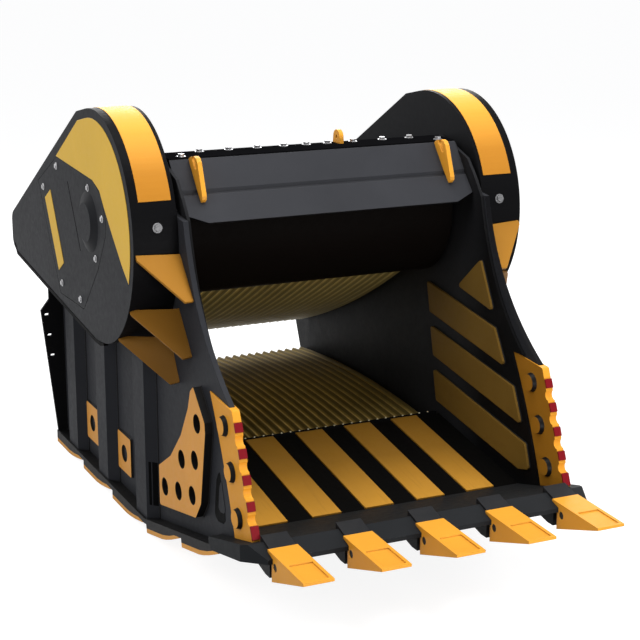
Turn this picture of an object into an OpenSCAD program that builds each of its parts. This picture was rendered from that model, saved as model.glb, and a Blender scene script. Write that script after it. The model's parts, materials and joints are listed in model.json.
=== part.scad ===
// Jaw crusher bucket for a very large excavator, standing on its wear skids.
// Y = 0 is the centre of the round front of the side casings and Z = 0 is the base line
// of the side view, until place() moves the whole machine so that the origin is the middle
// of its base, at the underside of the skids. +Y is the rear.

/* [Bucket body] */
// Clear width of the mouth between the wall liners
mouth_w = 1500; // [1360:10:1640]
// Thickness of the hard liner plates inside the side walls
liner_t = 15; // [10:1:20]
// Thickness of the side wall plates
wall_t = 25; // [16:1:32]
// How far the bottom shell stands out beyond each wall
ledge_w = 60; // [40:1:80]
// Thickness of the bottom shell
shell_t = 25; // [16:1:32]
// Depth of the wear skids and their blocks under the shell
skid_t = 44; // [36:1:52]
// Depth of the skids' underside below the base line
base_drop = 40; // [30:1:48]
// Distance of the body's rear face behind the casing centre
body_back = 1405; // [1395:1:1420]
// Distance of the bend in the underside in front of the casing centre
knee_front = 139; // [100:1:180]
// Upward slope of the front part of the underside, in degrees
under_slope = 12.5; // [11.8:0.1:13.2]
// Height of the wall's top edge above the base line
wall_top = 1840; // [1834:1:1852]
// Height of the coupler plate's top above the base line
deck_z = 1495; // [1470:1:1520]

/* [Lip and floor] */
// Distance of the cutting lip's front edge in front of the casing centre
lip_front = 1555; // [1540:1:1570]
// Thickness of the lip at its front edge
lip_edge = 20; // [14:1:26]
// Depth of the bevel on top of the lip
lip_bevel = 115; // [95:1:130]
// Height of the lip's top where its bevel starts
lip_top = 372; // [366:1:380]
// Distance of the lowest line of the floor in front of the casing centre
floor_front = 1025; // [1000:1:1050]
// Height of the lowest line of the floor
floor_low = 262; // [256:1:268]
// Distance of the floor's rear edge in front of the casing centre
floor_end = 234; // [234:1:250]
// Height of the floor's rear edge
floor_high = 387; // [378:1:392]
// Thickness of the floor plate
floor_t = 25; // [16:1:30]
// Number of wear bars on the floor
bar_n = 5; // [4:1:5]
// Gap between two wear bars
bar_gap = 122; // [100:1:130]
// Width of a wear bar
bar_w = 148; // [120:1:160]
// Thickness of a wear bar
bar_t = 8; // [5:1:14]

/* [Teeth] */
// How far a tooth's upper edge laps over the lip
tooth_lap = 53; // [46:1:60]
// Height of a tooth's back edge above the base line
tooth_top = 365; // [362:1:370]
// Number of teeth
tooth_n = 5; // [4:1:5]
// Distance between the centres of two teeth
tooth_spacing = 350; // [330:1:352]
// Width of a tooth
tooth_w = 138; // [120:1:150]
// Length of a tooth from its back face to its tip
tooth_len = 362; // [330:1:390]
// Height of a tooth at its back face
tooth_h = 131; // [124:1:138]
// Radius of the tooth pin
tooth_pin_r = 18; // [14:1:20]

/* [Side cutters] */
// Distance of a cutter's upper front corner in front of the casing centre
cutter_front = 1150; // [1140:1:1160]
// Distance of a cutter's lower rear corner in front of the casing centre
cutter_foot = 1205; // [1195:1:1215]
// Thickness of a side cutter
cutter_t = 37; // [32:1:44]
// Lean of a side cutter's front edge, in degrees
cutter_lean = 22.3; // [21.5:0.1:23]
// Height of the top corner of a side cutter
cutter_top = 884; // [876:1:890]
// Radius of the round bosses on both faces of a side cutter
cutter_boss_r = 47; // [38:1:52]
// Radius of the scallops between the cutter's teeth
scallop_r = 24; // [18:1:28]
// Distance between the cutter's teeth along its edge
pad_spacing = 113; // [110:1:115]
// Height of a red edge pad
pad_h = 43; // [36:1:50]
// Thickness of a red edge pad
pad_t = 8; // [4:1:10]

/* [Casings] */
// Width of each side casing beyond the wall
casing_w = 215; // [205:1:230]
// Radius of the casing's round front
casing_r = 560; // [550:1:570]
// Height of the casing's centre above the base line
casing_z = 1485; // [1480:1:1490]
// Sheet thickness of the casings
casing_t = 10; // [6:1:14]
// Distance of the casing's tail corners behind its centre
tail_len = 1540; // [1530:1:1560]
// Corner radius of the casing's tail
tail_r = 65; // [55:1:75]
// Drop of the tail's upper corner centre below the casing's centre
tail_drop = 245; // [235:1:255]
// Distance between the two corner centres of the tail
tail_h = 90; // [80:1:100]
// Width of the yellow stripe round a casing
stripe_w = 155; // [140:1:165]

/* [Crushing jaws] */
// Side clearance between a jaw plate and the liners
jaw_side_gap = 15; // [8:1:25]
// Thickness of a jaw plate over its ribs
jaw_t = 70; // [60:1:76]
// Distance between the ribs of a jaw plate
rib_spacing = 49; // [42:0.5:56]
// Height of the ribs of a jaw plate
rib_h = 20; // [14:1:24]
// Distance of the fixed jaw's front edge in front of the casing centre
fixed_front = 200; // [195:1:205]
// Distance of the fixed jaw's rear edge behind the casing centre
fixed_back = 1435; // [1425:1:1445]
// Height of the fixed jaw's two ends above the base line
fixed_z = 338; // [334:1:342]
// Crown of the jaw plates, over their length
jaw_crown = 46; // [40:1:50]
// Distance of the moving jaw's rear edge behind the casing centre
moving_back = 1460; // [1450:1:1470]
// Height of the moving jaw's rear edge
moving_low = 505; // [495:1:520]
// Distance of the moving jaw's front edge behind the casing centre
moving_front = 60; // [52:1:68]
// Height of the moving jaw's front edge
moving_high = 1125; // [1117:1:1133]

/* [Drive] */
// Throw of the eccentric shaft
throw = 12; // [8:1:14]
// Radius of the moving jaw's round head
drum_r = 372; // [362:1:374]
// Distance of the flat on top of the head from the head's centre
drum_flat = 245; // [235:1:248]
// Height of the pitman's tail over the back of its jaw plate
pit_tail = 120; // [105:1:130]
// Radius of the shaft in the frame bearings
shaft_r = 100; // [85:1:110]
// Radius of the eccentric part of the shaft
cam_r = 130; // [124:1:140]
// Room between the flywheels' rim and the inside of the casing's rim
wheel_room = 80; // [70:1:110]
// Width of the flywheels
wheel_w = 120; // [100:1:130]
// Radius of the motor pulley
pulley_r = 110; // [95:1:116]
// Radius of the hydraulic motor's housing
motor_r = 98; // [85:1:102]
// Distance of the motor shaft ahead of the casing's tail corners
motor_back = 250; // [240:1:260]
// Height of the motor shaft above the upper tail corner's centre
motor_lift = 10; // [0:1:20]
// Running clearance on the radius of each bearing
run_fit = 0.05; // [0.02:0.01:0.09]

/* [Hidden] */
$fn = 64;

// Overrun of every cut, gap under a seated piece, open seam round a cover, rounding of plates
cut = 2;
seat = 0.3;
seam = 4;
plate_r = 12;
full_turn = 360;

// Unit of the outlines in the side view
side_unit = 1000;
function side(shares) = [for (s = shares) s * side_unit];

// Planes across the machine
in_x = mouth_w / 2;
wall_x = in_x + liner_t;
out_x = wall_x + wall_t;
ledge_x = out_x + ledge_w;
casing_x = out_x + casing_w;
tooth_back = -(lip_front - tooth_lap);
front_y = tooth_back - tooth_len;
rear_y = tail_len + tail_r;
mid_y = (front_y + rear_y) / 2;

// Height of the shell's underside and top, and of the lip's top, at a place y
function under_z(y) = skid_t - base_drop + max(0, -knee_front - y) * tan(under_slope);
function shell_z(y) = under_z(y) + shell_t;
lip_knee = lip_front - lip_bevel;
function lip_z(y) = floor_low + (-floor_front - y) * (lip_top - floor_low) / (lip_knee - floor_front);
lip_tip = under_z(-lip_front) + lip_edge;
function bevel_z(y) = lip_top - (-y - lip_knee) / lip_bevel * (lip_top - lip_tip);

// Rim of the flywheels, and the centres of the shaft and of its eccentric part
wheel_r = casing_r - casing_t - wheel_room;
crank = [0, casing_z];
cam = crank + [0, throw];

// Points on an arc, on a Bezier curve, and round the corners of an outline
function arc(c, r, a0, a1, n) = [for (i = [0:n]) let (a = a0 + (a1 - a0) * i / n) c + r * [cos(a), sin(a)]];
function curve(p, q, r, n) = [for (i = [0:n]) let (t = i / n) (1 - t) * (1 - t) * p + 2 * t * (1 - t) * q + t * t * r];
function corner(a, b, c, r, n) = let (u = (a - b) / norm(a - b), v = (c - b) / norm(c - b),
    half = acos(u * v) / 2, m = (u + v) / norm(u + v), o = b + m * r / sin(half),
    p = b + u * r / tan(half) - o, q = b + v * r / tan(half) - o, s = atan2(p[1], p[0]),
    e0 = atan2(q[1], q[0]), e = e0 - s > 180 ? e0 - 360 : e0 - s < -180 ? e0 + 360 : e0)
    [for (i = [0:n]) o + r * [cos(s + (e - s) * i / n), sin(s + (e - s) * i / n)]];
function rounded(p, r) = let (k = len(p))
    [for (i = [0:k - 1]) each corner(p[(i + k - 1) % k], p[i], p[(i + 1) % k], r, 4)];

// A flat outline in Y and Z, run across the machine from x0 to x1
module across(x0, x1, points) {
    translate([x0, 0, 0]) rotate([90, 0, 90]) linear_extrude(x1 - x0) polygon(points);
}
// The same on both sides of the machine
module both_sides() {
    children();
    mirror([1, 0, 0]) children();
}
// A round bar along X
module bar_x(x0, x1, r, c) {
    translate([x0, c[0], c[1]]) rotate([0, 90, 0]) cylinder(h = x1 - x0, r = r);
}
// A plane that leans about the X axis: its own y runs up the slope and its z is outward
module leaning(c, angle) {
    translate([0, c[0], c[1]]) rotate([angle, 0, 0]) children();
}
// A plane through three points: its x runs from a to b
module on_plane(a, b, c) {
    u = (b - a) / norm(b - a);
    w = cross(u, c - a);
    n = w / norm(w);
    v = cross(n, u);
    translate(a) rotate([atan2(v[2], n[2]), -asin(u[2]), atan2(u[1], u[0])]) children();
}
module place() {
    translate([0, -mid_y, base_drop]) children();
}

// Side wall: concave front edge, cutter seat, stepped top and rear
wall_bend_share = [-0.72, 1.15];
wall_top_shares = [[-0.62, 1.6], [-0.511, 1.611], [-0.432, 1.648], [-0.36, 1.698], [-0.266, 1.791]];
cutter_back_share = [-1.09, 0.64];
cutter_tip_share = -0.932;
tip_rise = 16;
cutter_corner = [-cutter_front, cutter_top];
cutter_tip = [cutter_tip_share * side_unit, cutter_top + tip_rise];
cutter_low = [-cutter_foot, lip_z(-cutter_foot)];
cutter_back_curve = curve(cutter_low, cutter_back_share * side_unit, cutter_tip, 12);
plate_len = 190;
plate_drop = 6;
hood_foot = side([[-0.568, 1.574]])[0];
hood_fold = side([[-0.443, 1.708]])[0];
hood_top = [-0.34 * side_unit, wall_top - plate_drop];
plate_end = hood_top[0] + plate_len;
shroud_mid = side([[0.4, 1.69]])[0];
shroud_end = [0.76 * side_unit, deck_z];
lip_joint = -floor_front - shell_t;
module side_wall(motor_hole) difference() {
    across(wall_x, out_x, concat(cutter_back_curve,
        curve(cutter_corner, wall_bend_share * side_unit, wall_top_shares[0] * side_unit, 16),
        [for (i = [1:len(wall_top_shares) - 1]) wall_top_shares[i] * side_unit],
        [[plate_end, wall_top], shroud_mid, shroud_end, [body_back, deck_z],
        [body_back, shell_z(body_back)], [-knee_front, shell_z(-knee_front)],
        [-floor_front, shell_z(-floor_front)], [-floor_front, lip_z(-floor_front)]]));
    bar_x(wall_x - cut, out_x + cut, housing_r + seat, crank);
    if (motor_hole) bar_x(wall_x - cut, out_x + cut, motor_spigot_r + seat, motor_at);
}
module left_side_wall() color("dimgray") mirror([1, 0, 0]) side_wall(true);
module right_side_wall() color("dimgray") side_wall(false);

// Liner: covers the wall inside and stands up beside the hood
liner_foot_share = [-1.032, 0.906];
liner_bend_share = [-0.72, 1.14];
liner_top_shares = [[-0.607, 1.597], [-0.538, 1.687], [-0.466, 1.765], [-0.346, 1.804], [-0.323, 1.824]];
liner_rear_shares = [[0.38, 1.6], [0.74, 1.34], [1.2, 1.02]];
module wall_liner() difference() {
    across(in_x, wall_x - seat, concat(
        curve(liner_foot_share * side_unit, liner_bend_share * side_unit, liner_top_shares[0] * side_unit, 16),
        [for (i = [1:len(liner_top_shares) - 1]) liner_top_shares[i] * side_unit],
        [[plate_end - seat, liner_top_shares[4][1] * side_unit], [plate_end - seat, wall_top - 3 * top_t]],
        side(liner_rear_shares), [[body_back, liner_rear_shares[2][1] * side_unit],
        [body_back, shell_z(body_back) + seat], [-floor_end + seat, shell_z(-floor_end) + seat],
        [-floor_end + seat, floor_high + seat], [-floor_front, floor_low + seat],
        [-cutter_foot + seat, lip_z(-cutter_foot) + seat]],
        [for (i = [1:len(cutter_back_curve) - 2]) cutter_back_curve[i] + [seat, 0]],
        [cutter_tip + [seat, seat]]));
    bar_x(in_x - cut, wall_x + cut, housing_r + seat, crank);
}
module left_wall_liner() color("#2c2d30") mirror([1, 0, 0]) wall_liner();
module right_wall_liner() color("#2c2d30") wall_liner();

// Stiffening ribs: three pressed channels on each wall, between the shell and the casing
rib_place_shares = [-0.152, 0.471, 1.019];
channel_w = 160;
channel_h = 50;
channel_side = 55;
low_flank = 40;
module wall_ribs() color("dimgray") both_sides() difference() {
    for (s = rib_place_shares) let (y = s * side_unit) translate([0, 0, shell_z(body_back)])
        linear_extrude(casing_z - casing_r * sin(low_flank) - shell_z(body_back)) polygon([[out_x, y - channel_side],
            [out_x + channel_h, y], [out_x + channel_h, y + channel_w], [out_x, y + channel_w + channel_side]]);
    across(out_x - cut, casing_x, casing_outline(-seat));
    across(out_x - cut, casing_x, shell_points);
}

// Bottom shell with its bend and ledges
shell_points = [[body_back, under_z(body_back)], [body_back, shell_z(body_back)],
    [-knee_front, shell_z(-knee_front)], [lip_joint, shell_z(lip_joint)], [lip_joint, under_z(lip_joint)],
    [-knee_front, under_z(-knee_front)]];
module bottom_shell() color("#2b2c2f") difference() {
    union() {
        across(-ledge_x, ledge_x, shell_points);
        both_sides() skid_row() across(ledge_x - skid_w, ledge_x, concat([[skid_len, cut]],
            [for (k = [0:len(skid_inner_shares) - 1]) let (s = skid_inner_shares[k])
                [s[0] * skid_len + (k == 0 ? 0 : seat), s[1] * skid_t + (k == len(skid_inner_shares) - 1 ? cut : seat)]]));
    }
    across(-ledge_x - cut, ledge_x + cut, lip_points);
}

// Floor plate between the walls, bent down to the shell behind its rear edge
module bucket_floor() color("#17181a") across(-wall_x + seat, wall_x - seat, [
    [-floor_front, floor_low], [-floor_front, floor_low - floor_t],
    [-floor_end - floor_t, floor_high - 1.2 * floor_t], [-floor_end - floor_t, shell_z(-floor_end - floor_t)],
    [-floor_end, shell_z(-floor_end)], [-floor_end, floor_high]]);

// Cutting lip, the full width of the shell, lapped over the shell and the floor's front edge
lip_points = [[lip_joint, under_z(lip_joint)], [lip_joint, shell_z(lip_joint) + seat],
    [-floor_front - seat, shell_z(-floor_front) + 2 * seat], [-floor_front - seat, floor_low],
    [-lip_knee, lip_top], [-lip_front, lip_tip], [-lip_front, under_z(-lip_front)]];
lip_corner_w = 60;
lip_corner_l = 160;
module cutting_lip() color("#2b2c2f") difference() {
    across(-ledge_x, ledge_x, lip_points);
    both_sides() linear_extrude(lip_top + cut) polygon([[ledge_x, lip_corner_l - lip_front],
        [ledge_x + lip_corner_w, lip_corner_l - lip_front], [ledge_x + lip_corner_w, -lip_front - lip_corner_l],
        [ledge_x - 2 * lip_corner_w, -lip_front - lip_corner_l]]);
}

module floor_wear_bars() color("#c98a2b") for (k = [0:bar_n - 1])
    translate([(k - (bar_n - 1) / 2) * (bar_w + bar_gap) - bar_w / 2, 0, 0])
        across(0, bar_w, [[-floor_front, floor_low], [-floor_front, floor_low + bar_t],
            [-floor_end, floor_high + bar_t], [-floor_end, floor_high]]);

// Raised wear plates inside the walls, in the side view
wear_t = 15;
wear_shares = [[[-0.64, 1.291], [-0.426, 1.117], [-0.764, 1.06]],
    [[-0.106, 1.075], [-0.788, 0.981], [-0.887, 0.816], [-0.142, 0.918]],
    [[-0.152, 0.845], [-0.969, 0.736], [-1.049, 0.57], [-0.187, 0.694]],
    [[-0.19, 0.619], [-1.091, 0.484], [-1.132, 0.367], [-1.042, 0.344], [-0.226, 0.46]]];
module wall_wear_plates() color("#a8701e") both_sides() for (w = wear_shares)
    across(in_x - wear_t, in_x, rounded(side(w), plate_r));

// Tooth adapters: two legs over the lip and a nose that fills the tooth's socket
function tooth_x(k) = (k - (tooth_n - 1) / 2) * tooth_spacing;
adapter_w = 120;
adapter_l = 94;
adapter_leg = 26;
nose_side = 16;
nose_gap = 1;
nose_l = 150;
nose_wall = 13;
tooth_pin = [tooth_back - 0.21 * tooth_len, tooth_top - 0.42 * tooth_h];
module nose(gap) across(-adapter_w / 2 + nose_side - gap, adapter_w / 2 - nose_side + gap, [
    [tooth_back + cut, tooth_top - 0.4 * nose_wall + gap], [-lip_front, tooth_top - nose_wall + gap],
    [tooth_back - nose_l - gap, tooth_top - 0.36 * tooth_h + gap], [tooth_back - nose_l - gap, tooth_top - 0.6 * tooth_h - gap],
    [-lip_front, tooth_top - 0.82 * tooth_h - gap], [tooth_back + cut, tooth_top - 0.86 * tooth_h - gap]]);
module adapter() difference() {
    union() {
        across(-adapter_w / 2, adapter_w / 2, [[tooth_back + adapter_l, tooth_top + adapter_leg],
            [tooth_back + seat, tooth_top], [tooth_back + seat, tooth_top - tooth_h],
            [tooth_back + adapter_l / 2, tooth_top - tooth_h],
            [tooth_back + 2 * adapter_l, under_z(tooth_back + 2 * adapter_l) - seat],
            [tooth_back + adapter_l, lip_top - lip_edge]]);
        nose(0);
    }
    across(-adapter_w, adapter_w, [[tooth_back + 3 * adapter_l, lip_z(tooth_back + 3 * adapter_l)],
        lip_points[4], lip_points[5], lip_points[6],
        [tooth_back + 3 * adapter_l, under_z(tooth_back + 3 * adapter_l)]]);
    bar_x(-adapter_w, adapter_w, tooth_pin_r + seat, tooth_pin);
}
module tooth_adapters() color("#3a3b3e") for (k = [0:tooth_n - 1]) translate([tooth_x(k), 0, 0]) adapter();

// Teeth: hollow wedges with a shallow dish on top
tip_h = 12;
tip_drop = 13;
tooth_tail = 42;
dish_d = 6;
dish_shares = [0.5, 0.95];
module tooth() difference() {
    across(-tooth_w / 2, tooth_w / 2, [[tooth_back, tooth_top], [tooth_back - tooth_len, tooth_top - tip_drop],
        [tooth_back - tooth_len, tooth_top - tip_drop - tip_h], [tooth_back - tooth_tail, tooth_top - tooth_h],
        [tooth_back - tooth_tail, under_z(tooth_back - tooth_tail) - nose_gap],
        [-lip_front - nose_gap, under_z(-lip_front) - nose_gap], [-lip_front - nose_gap, lip_tip + nose_gap],
        [tooth_back, bevel_z(tooth_back) + nose_gap]]);
    nose(nose_gap);
    bar_x(-tooth_w, tooth_w, tooth_pin_r + seat, tooth_pin);
    leaning([tooth_back, tooth_top], atan(tip_drop / tooth_len))
        translate([-tooth_w / 2 + nose_side, -tooth_len * dish_shares[1], -dish_d])
            cube([tooth_w - 2 * nose_side, tooth_len * (dish_shares[1] - dish_shares[0]), tooth_h]);
}
module bucket_teeth() color("#f0a22b") for (k = [0:tooth_n - 1]) translate([tooth_x(k), 0, 0]) tooth();
module tooth_pins() color("#26262a") for (k = [0:tooth_n - 1]) translate([tooth_x(k), 0, 0])
    bar_x(-tooth_w / 2 + 10 * seat, tooth_w / 2 - 10 * seat, tooth_pin_r, tooth_pin);

// Side cutters: a castellated front edge with red pads
cutter_in = (wall_x + out_x - cutter_t) / 2;
edge_dir = [-sin(cutter_lean), -cos(cutter_lean)];
edge_out = [-cos(cutter_lean), sin(cutter_lean)];
edge_head = 36;
boss_inset = 115;
boss_rise = 20;
boss_top = 0.84;
boss_shares = [0.093, 0.452, 0.808];
pad_n = 5;
pad_start = 75;
cutter_head = cutter_corner + (cutter_corner - cutter_tip) * edge_head / (cutter_tip[0] - cutter_corner[0]);
function edge_at(s) = cutter_head + s * edge_dir;
edge_len = (edge_at(0)[1] - lip_z(edge_at(0)[0])) / (cos(cutter_lean)
    + sin(cutter_lean) * (lip_z(-1) - lip_z(0)));
module cutter() {
    cutter_plate();
    for (s = boss_shares) let (c = edge_at(s * edge_len) - edge_out * boss_inset) {
        translate([cutter_in + cutter_t - seat, c[0], c[1]]) rotate([0, 90, 0])
            cylinder(h = boss_rise + seat, r1 = cutter_boss_r, r2 = cutter_boss_r * boss_top);
        translate([cutter_in + seat, c[0], c[1]]) rotate([0, -90, 0])
            cylinder(h = boss_rise + seat, r1 = cutter_boss_r, r2 = cutter_boss_r * boss_top);
    }
}
module cutter_plate() difference() {
    across(cutter_in, cutter_in + cutter_t, concat(cutter_back_curve,
        corner(cutter_tip, cutter_head, edge_at(pad_spacing), plate_r, 4), [edge_at(edge_len)]));
    for (k = [1:pad_n - 1])
        bar_x(cutter_in - cut, cutter_in + cutter_t + cut, scallop_r,
            edge_at(pad_start + (k - 0.5) * pad_spacing) + edge_out * scallop_r / 3);
}
module left_side_cutter() color("#f0a22b") mirror([1, 0, 0]) cutter();
module right_side_cutter() color("#f0a22b") cutter();
module cutter_edge_pads() color("#7d1224") both_sides() for (k = [0:pad_n - 1])
    let (s = pad_start + k * pad_spacing, last = k == pad_n - 1,
        a = s - pad_h * (last ? 0.75 : 0.5), b = last ? edge_len - pad_t : s + pad_h / 2)
    across(cutter_in, cutter_in + cutter_t, [edge_at(a) + seat * edge_out, edge_at(b) + seat * edge_out,
        edge_at(b) + pad_t * edge_out, edge_at(a) + pad_t * edge_out]);

// Outer wear plates with six holes, on both walls
side_plate_t = 40;
side_hole_r = 44;
side_plate_shares = [[-0.812, 0.891], [-0.948, 0.759], [-0.952, 0.712], [-0.885, 0.36], [-0.815, 0.271],
    [-0.324, 0.166], [-0.322, 0.366], [-0.491, 0.466], [-0.639, 0.613], [-0.739, 0.768], [-0.773, 0.859]];
side_hole_shares = [[-0.85, 0.729], [-0.641, 0.496], [-0.813, 0.546], [-0.402, 0.283], [-0.59, 0.324], [-0.773, 0.364]];
module side_wear_plates() color("#f0a22b") both_sides() difference() {
    across(out_x, out_x + side_plate_t, rounded(side(side_plate_shares), plate_r));
    for (h = side_hole_shares) bar_x(out_x - cut, out_x + side_plate_t + cut, side_hole_r, h * side_unit);
}
// Square plates with one hole, between the ribs
anchor_size = 205;
anchor_t = 12;
anchor_r = 45;
anchor_z = 225;
anchor_gap = 14;
module anchor_plates() color("#f0a22b") both_sides() for (k = [1, 2])
    let (y = rib_place_shares[k] * side_unit - channel_side - anchor_gap - anchor_size / 2) difference() {
        across(out_x, out_x + anchor_t, rounded([for (s = [[-1, -1], [1, -1], [1, 1], [-1, 1]])
            [y, anchor_z] + s * anchor_size / 2], plate_r));
        bar_x(out_x - cut, out_x + anchor_t + cut, anchor_r, [y, anchor_z]);
    }

// Wear skids: five on each side, the last two on the slope, each bent up round the front of its block
skid_w = 110;
skid_len = 490;
skid_gap = 24;
skid_outer_shares = [[0.04, 0], [0, -0.08], [0.06, -0.24], [0.24, -0.62], [0.4, -0.88], [0.53, -1], [1, -1]];
skid_inner_shares = [[1, -0.5], [0.5, -0.5], [0.3, -0.3], [0.14, 0]];
module skid_row() {
    for (k = [0:2]) translate([0, body_back - (k + 1) * (skid_len + skid_gap) + skid_gap, under_z(body_back)])
        children();
    leaning([-knee_front, under_z(body_back)], -under_slope) for (k = [0, 1])
        translate([0, -(k + 1) * (skid_len + skid_gap), 0]) children();
}
module wear_skids() color("#c98a2b") both_sides() skid_row() across(ledge_x - skid_w, ledge_x,
    [for (s = concat(skid_outer_shares, skid_inner_shares)) [s[0] * skid_len, s[1] * skid_t]]);

// Three-cornered guards between the wall's front edge and the casing's round front
guard_t = 14;
guard_tip = 40;
guard_top_shares = [[-1.004, -0.089], [-0.952, -0.55], [-0.716, -0.838]];
guard_low_shares = [[-1.3, -0.414], [-1.236, -0.886], [-0.925, -1.18]];
guard_angles = [185.2, 215.2, 240.3];
module casing_guards() color("#f0a22b") both_sides() difference() {
    for (k = [0:2]) {
        t = crank + casing_r * guard_top_shares[k];
        l = crank + casing_r * guard_low_shares[k];
        o = crank + casing_r * [cos(guard_angles[k]), sin(guard_angles[k])];
        a = [out_x, t[0], t[1]];
        b = [out_x, l[0], l[1]];
        c = [casing_x - casing_t, o[0], o[1]];
        u = (b - a) / norm(b - a);
        w = (c - a) - u * (u * (c - a));
        on_plane(a, b, c) linear_extrude(guard_t)
            polygon(rounded([[0, -plate_r], [norm(b - a), -plate_r], [norm(b - a), guard_tip],
                [u * (c - a) + plate_r, norm(w)], [u * (c - a) - plate_r, norm(w)], [0, plate_r]], plate_r / 3));
    }
    across(out_x - casing_w, out_x + seat, side([[-2, 0], [1, 0], [1, 2], [-2, 2]]));
    across(out_x - cut, casing_x + cut, casing_outline(-seat));
}

// Side casings: round front, straight flanks that start a little outside the round, rounded tail
tail_top = [tail_len, -tail_drop];
tail_low = [tail_len, -tail_drop - tail_h];
top_angle = atan2(tail_top[1], tail_top[0]) + acos((casing_r - tail_r) / norm(tail_top));
low_angle = atan2(tail_low[1], tail_low[0]) - acos((casing_r - tail_r) / norm(tail_low));
arc_steps = 60;
flank_top_share = [0.455, 0.93];
flank_low_share = [0.105, -1.016];
rim_start = atan2(flank_top_share[1], flank_top_share[0]) + acos(1 / norm(flank_top_share));
rim_end = full_turn + atan2(flank_low_share[1], flank_low_share[0]) - acos(1 / norm(flank_low_share));
function casing_outline(g) = [for (p = concat([flank_top_share * (casing_r - g)],
    arc([0, 0], casing_r - g, rim_start, rim_end, arc_steps), [flank_low_share * (casing_r - g)],
    arc(tail_low, tail_r - g, low_angle, 0, 8), arc(tail_top, tail_r - g, 0, top_angle, 8))) p + crank];

// Outline of the inspection cover, in shares of the casing's radius
cover_shares = [[1.786, 0.134], [1.464, -0.386], [1.161, -0.83], [0.427, -0.82], [-0.036, -0.368],
    [-0.275, -0.0375], [-0.289, 0.1], [-0.198, 0.289], [0.021, 0.388], [1.136, 0.443]];
cover_mid_share = [0.75, -0.05];
function cover_outline(g) = [for (s = cover_shares)
    crank + casing_r * (cover_mid_share + (s - cover_mid_share) * (1 - g / casing_r))];
flange_in = 25;
housing_lip = 30;
module casing(motor_hole) difference() {
    across(out_x + seat, casing_x, casing_outline(0));
    difference() {
        across(out_x + seat + casing_t, casing_x - casing_t, casing_outline(casing_t));
        across(casing_x - 2 * casing_t, casing_x, cover_outline(-seam));
    }
    across(casing_x - casing_t, casing_x + cut, cover_outline(0));
    across(casing_x - 3 * casing_t, casing_x, cover_outline(flange_in));
    bar_x(out_x - cut, out_x + 2 * casing_t, housing_r + housing_lip + seam, crank);
    if (motor_hole) bar_x(out_x - cut, out_x + 2 * casing_t, motor_r + flange_in, motor_at);
}
module left_casing() color("#434447") mirror([1, 0, 0]) casing(true);
module right_casing() color("#434447") casing(false);

// Yellow stripe on the rim
stripe_t = 2;
stripe_in = 20;
stripe_end = 160.5;
module rim_stripes() color("#f0a22b") both_sides()
    across(out_x + stripe_in, out_x + stripe_in + stripe_w, let (k = (rim_end - rim_start) / arc_steps,
        n = floor((stripe_end - rim_start) / k)) concat([crank + flank_top_share * (casing_r + stripe_t)],
        arc(crank, casing_r + stripe_t, rim_start, rim_start + n * k, n),
        arc(crank, casing_r, rim_start + n * k, rim_start, n), [crank + flank_top_share * casing_r]));

// Yellow crescent on each casing's side, and a bare slanted strip on the cover
panel_inset = 45;
panel_end = 200.5;
panel_shares = [[1.136, 0.45], [0.039, 0.395], [-0.152, 0.332], [-0.254, 0.218], [-0.459, 0.02], [-0.695, -0.195]];
strip_shares = [[1.375, 0.104], [1.564, 0.004], [1.186, -0.616], [1.016, -0.516]];
module casing_side_panels() color("#c79a3c") both_sides() {
    across(casing_x, casing_x + stripe_t, concat([crank + flank_top_share * (casing_r - panel_inset)],
        arc(crank, casing_r - panel_inset, rim_start, panel_end, 32),
        [for (i = [len(panel_shares) - 1:-1:0]) crank + casing_r * panel_shares[i]]));
    across(casing_x, casing_x + stripe_t, [for (p = strip_shares) crank + casing_r * p]);
}

// Inspection cover with a vent slot and a tapered boss over the wheel hub
boss_share = [0.2, 0.0054];
boss_r_share = 0.268;
boss_h = 22;
boss_taper = 0.64;
slot_share = [0.6375, -0.016];
slot_len = 368;
slot_w = 8;
slot_lean = 60;
module inspection_cover() difference() {
    union() {
        across(casing_x - casing_t, casing_x, cover_outline(seam));
        let (b = crank + casing_r * boss_share, r = casing_r * boss_r_share) translate([casing_x - seat, b[0], b[1]])
            rotate([0, 90, 0]) cylinder(h = boss_h, r1 = r, r2 = r * boss_taper);
    }
    leaning(crank + casing_r * slot_share, slot_lean)
        translate([casing_x - 2 * casing_t, -slot_len / 2, -slot_w / 2]) cube([3 * casing_t, slot_len, slot_w]);
}
module left_inspection_cover() color("#434447") mirror([1, 0, 0]) inspection_cover();
module right_inspection_cover() color("#434447") inspection_cover();

bolt_shares = [[1.15, 0.355], [1.615, 0.095], [0.189, 0.304], [-0.19, 0.098], [0.027, -0.284], [1.1, -0.72], [0.525, -0.75]];
rim_bolt_angle = 171.5;
bolt_r = 13;
bolt_h = 9;
module cover_bolts() color("silver") both_sides() {
    for (b = bolt_shares) bar_x(casing_x, casing_x + bolt_h, bolt_r, crank + casing_r * b);
    leaning(crank + casing_r * [cos(rim_bolt_angle), sin(rim_bolt_angle)], rim_bolt_angle - 90)
        translate([out_x + stripe_in + stripe_w / 2, 0, seat]) cylinder(h = bolt_h, r = 1.4 * bolt_r);
}

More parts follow.
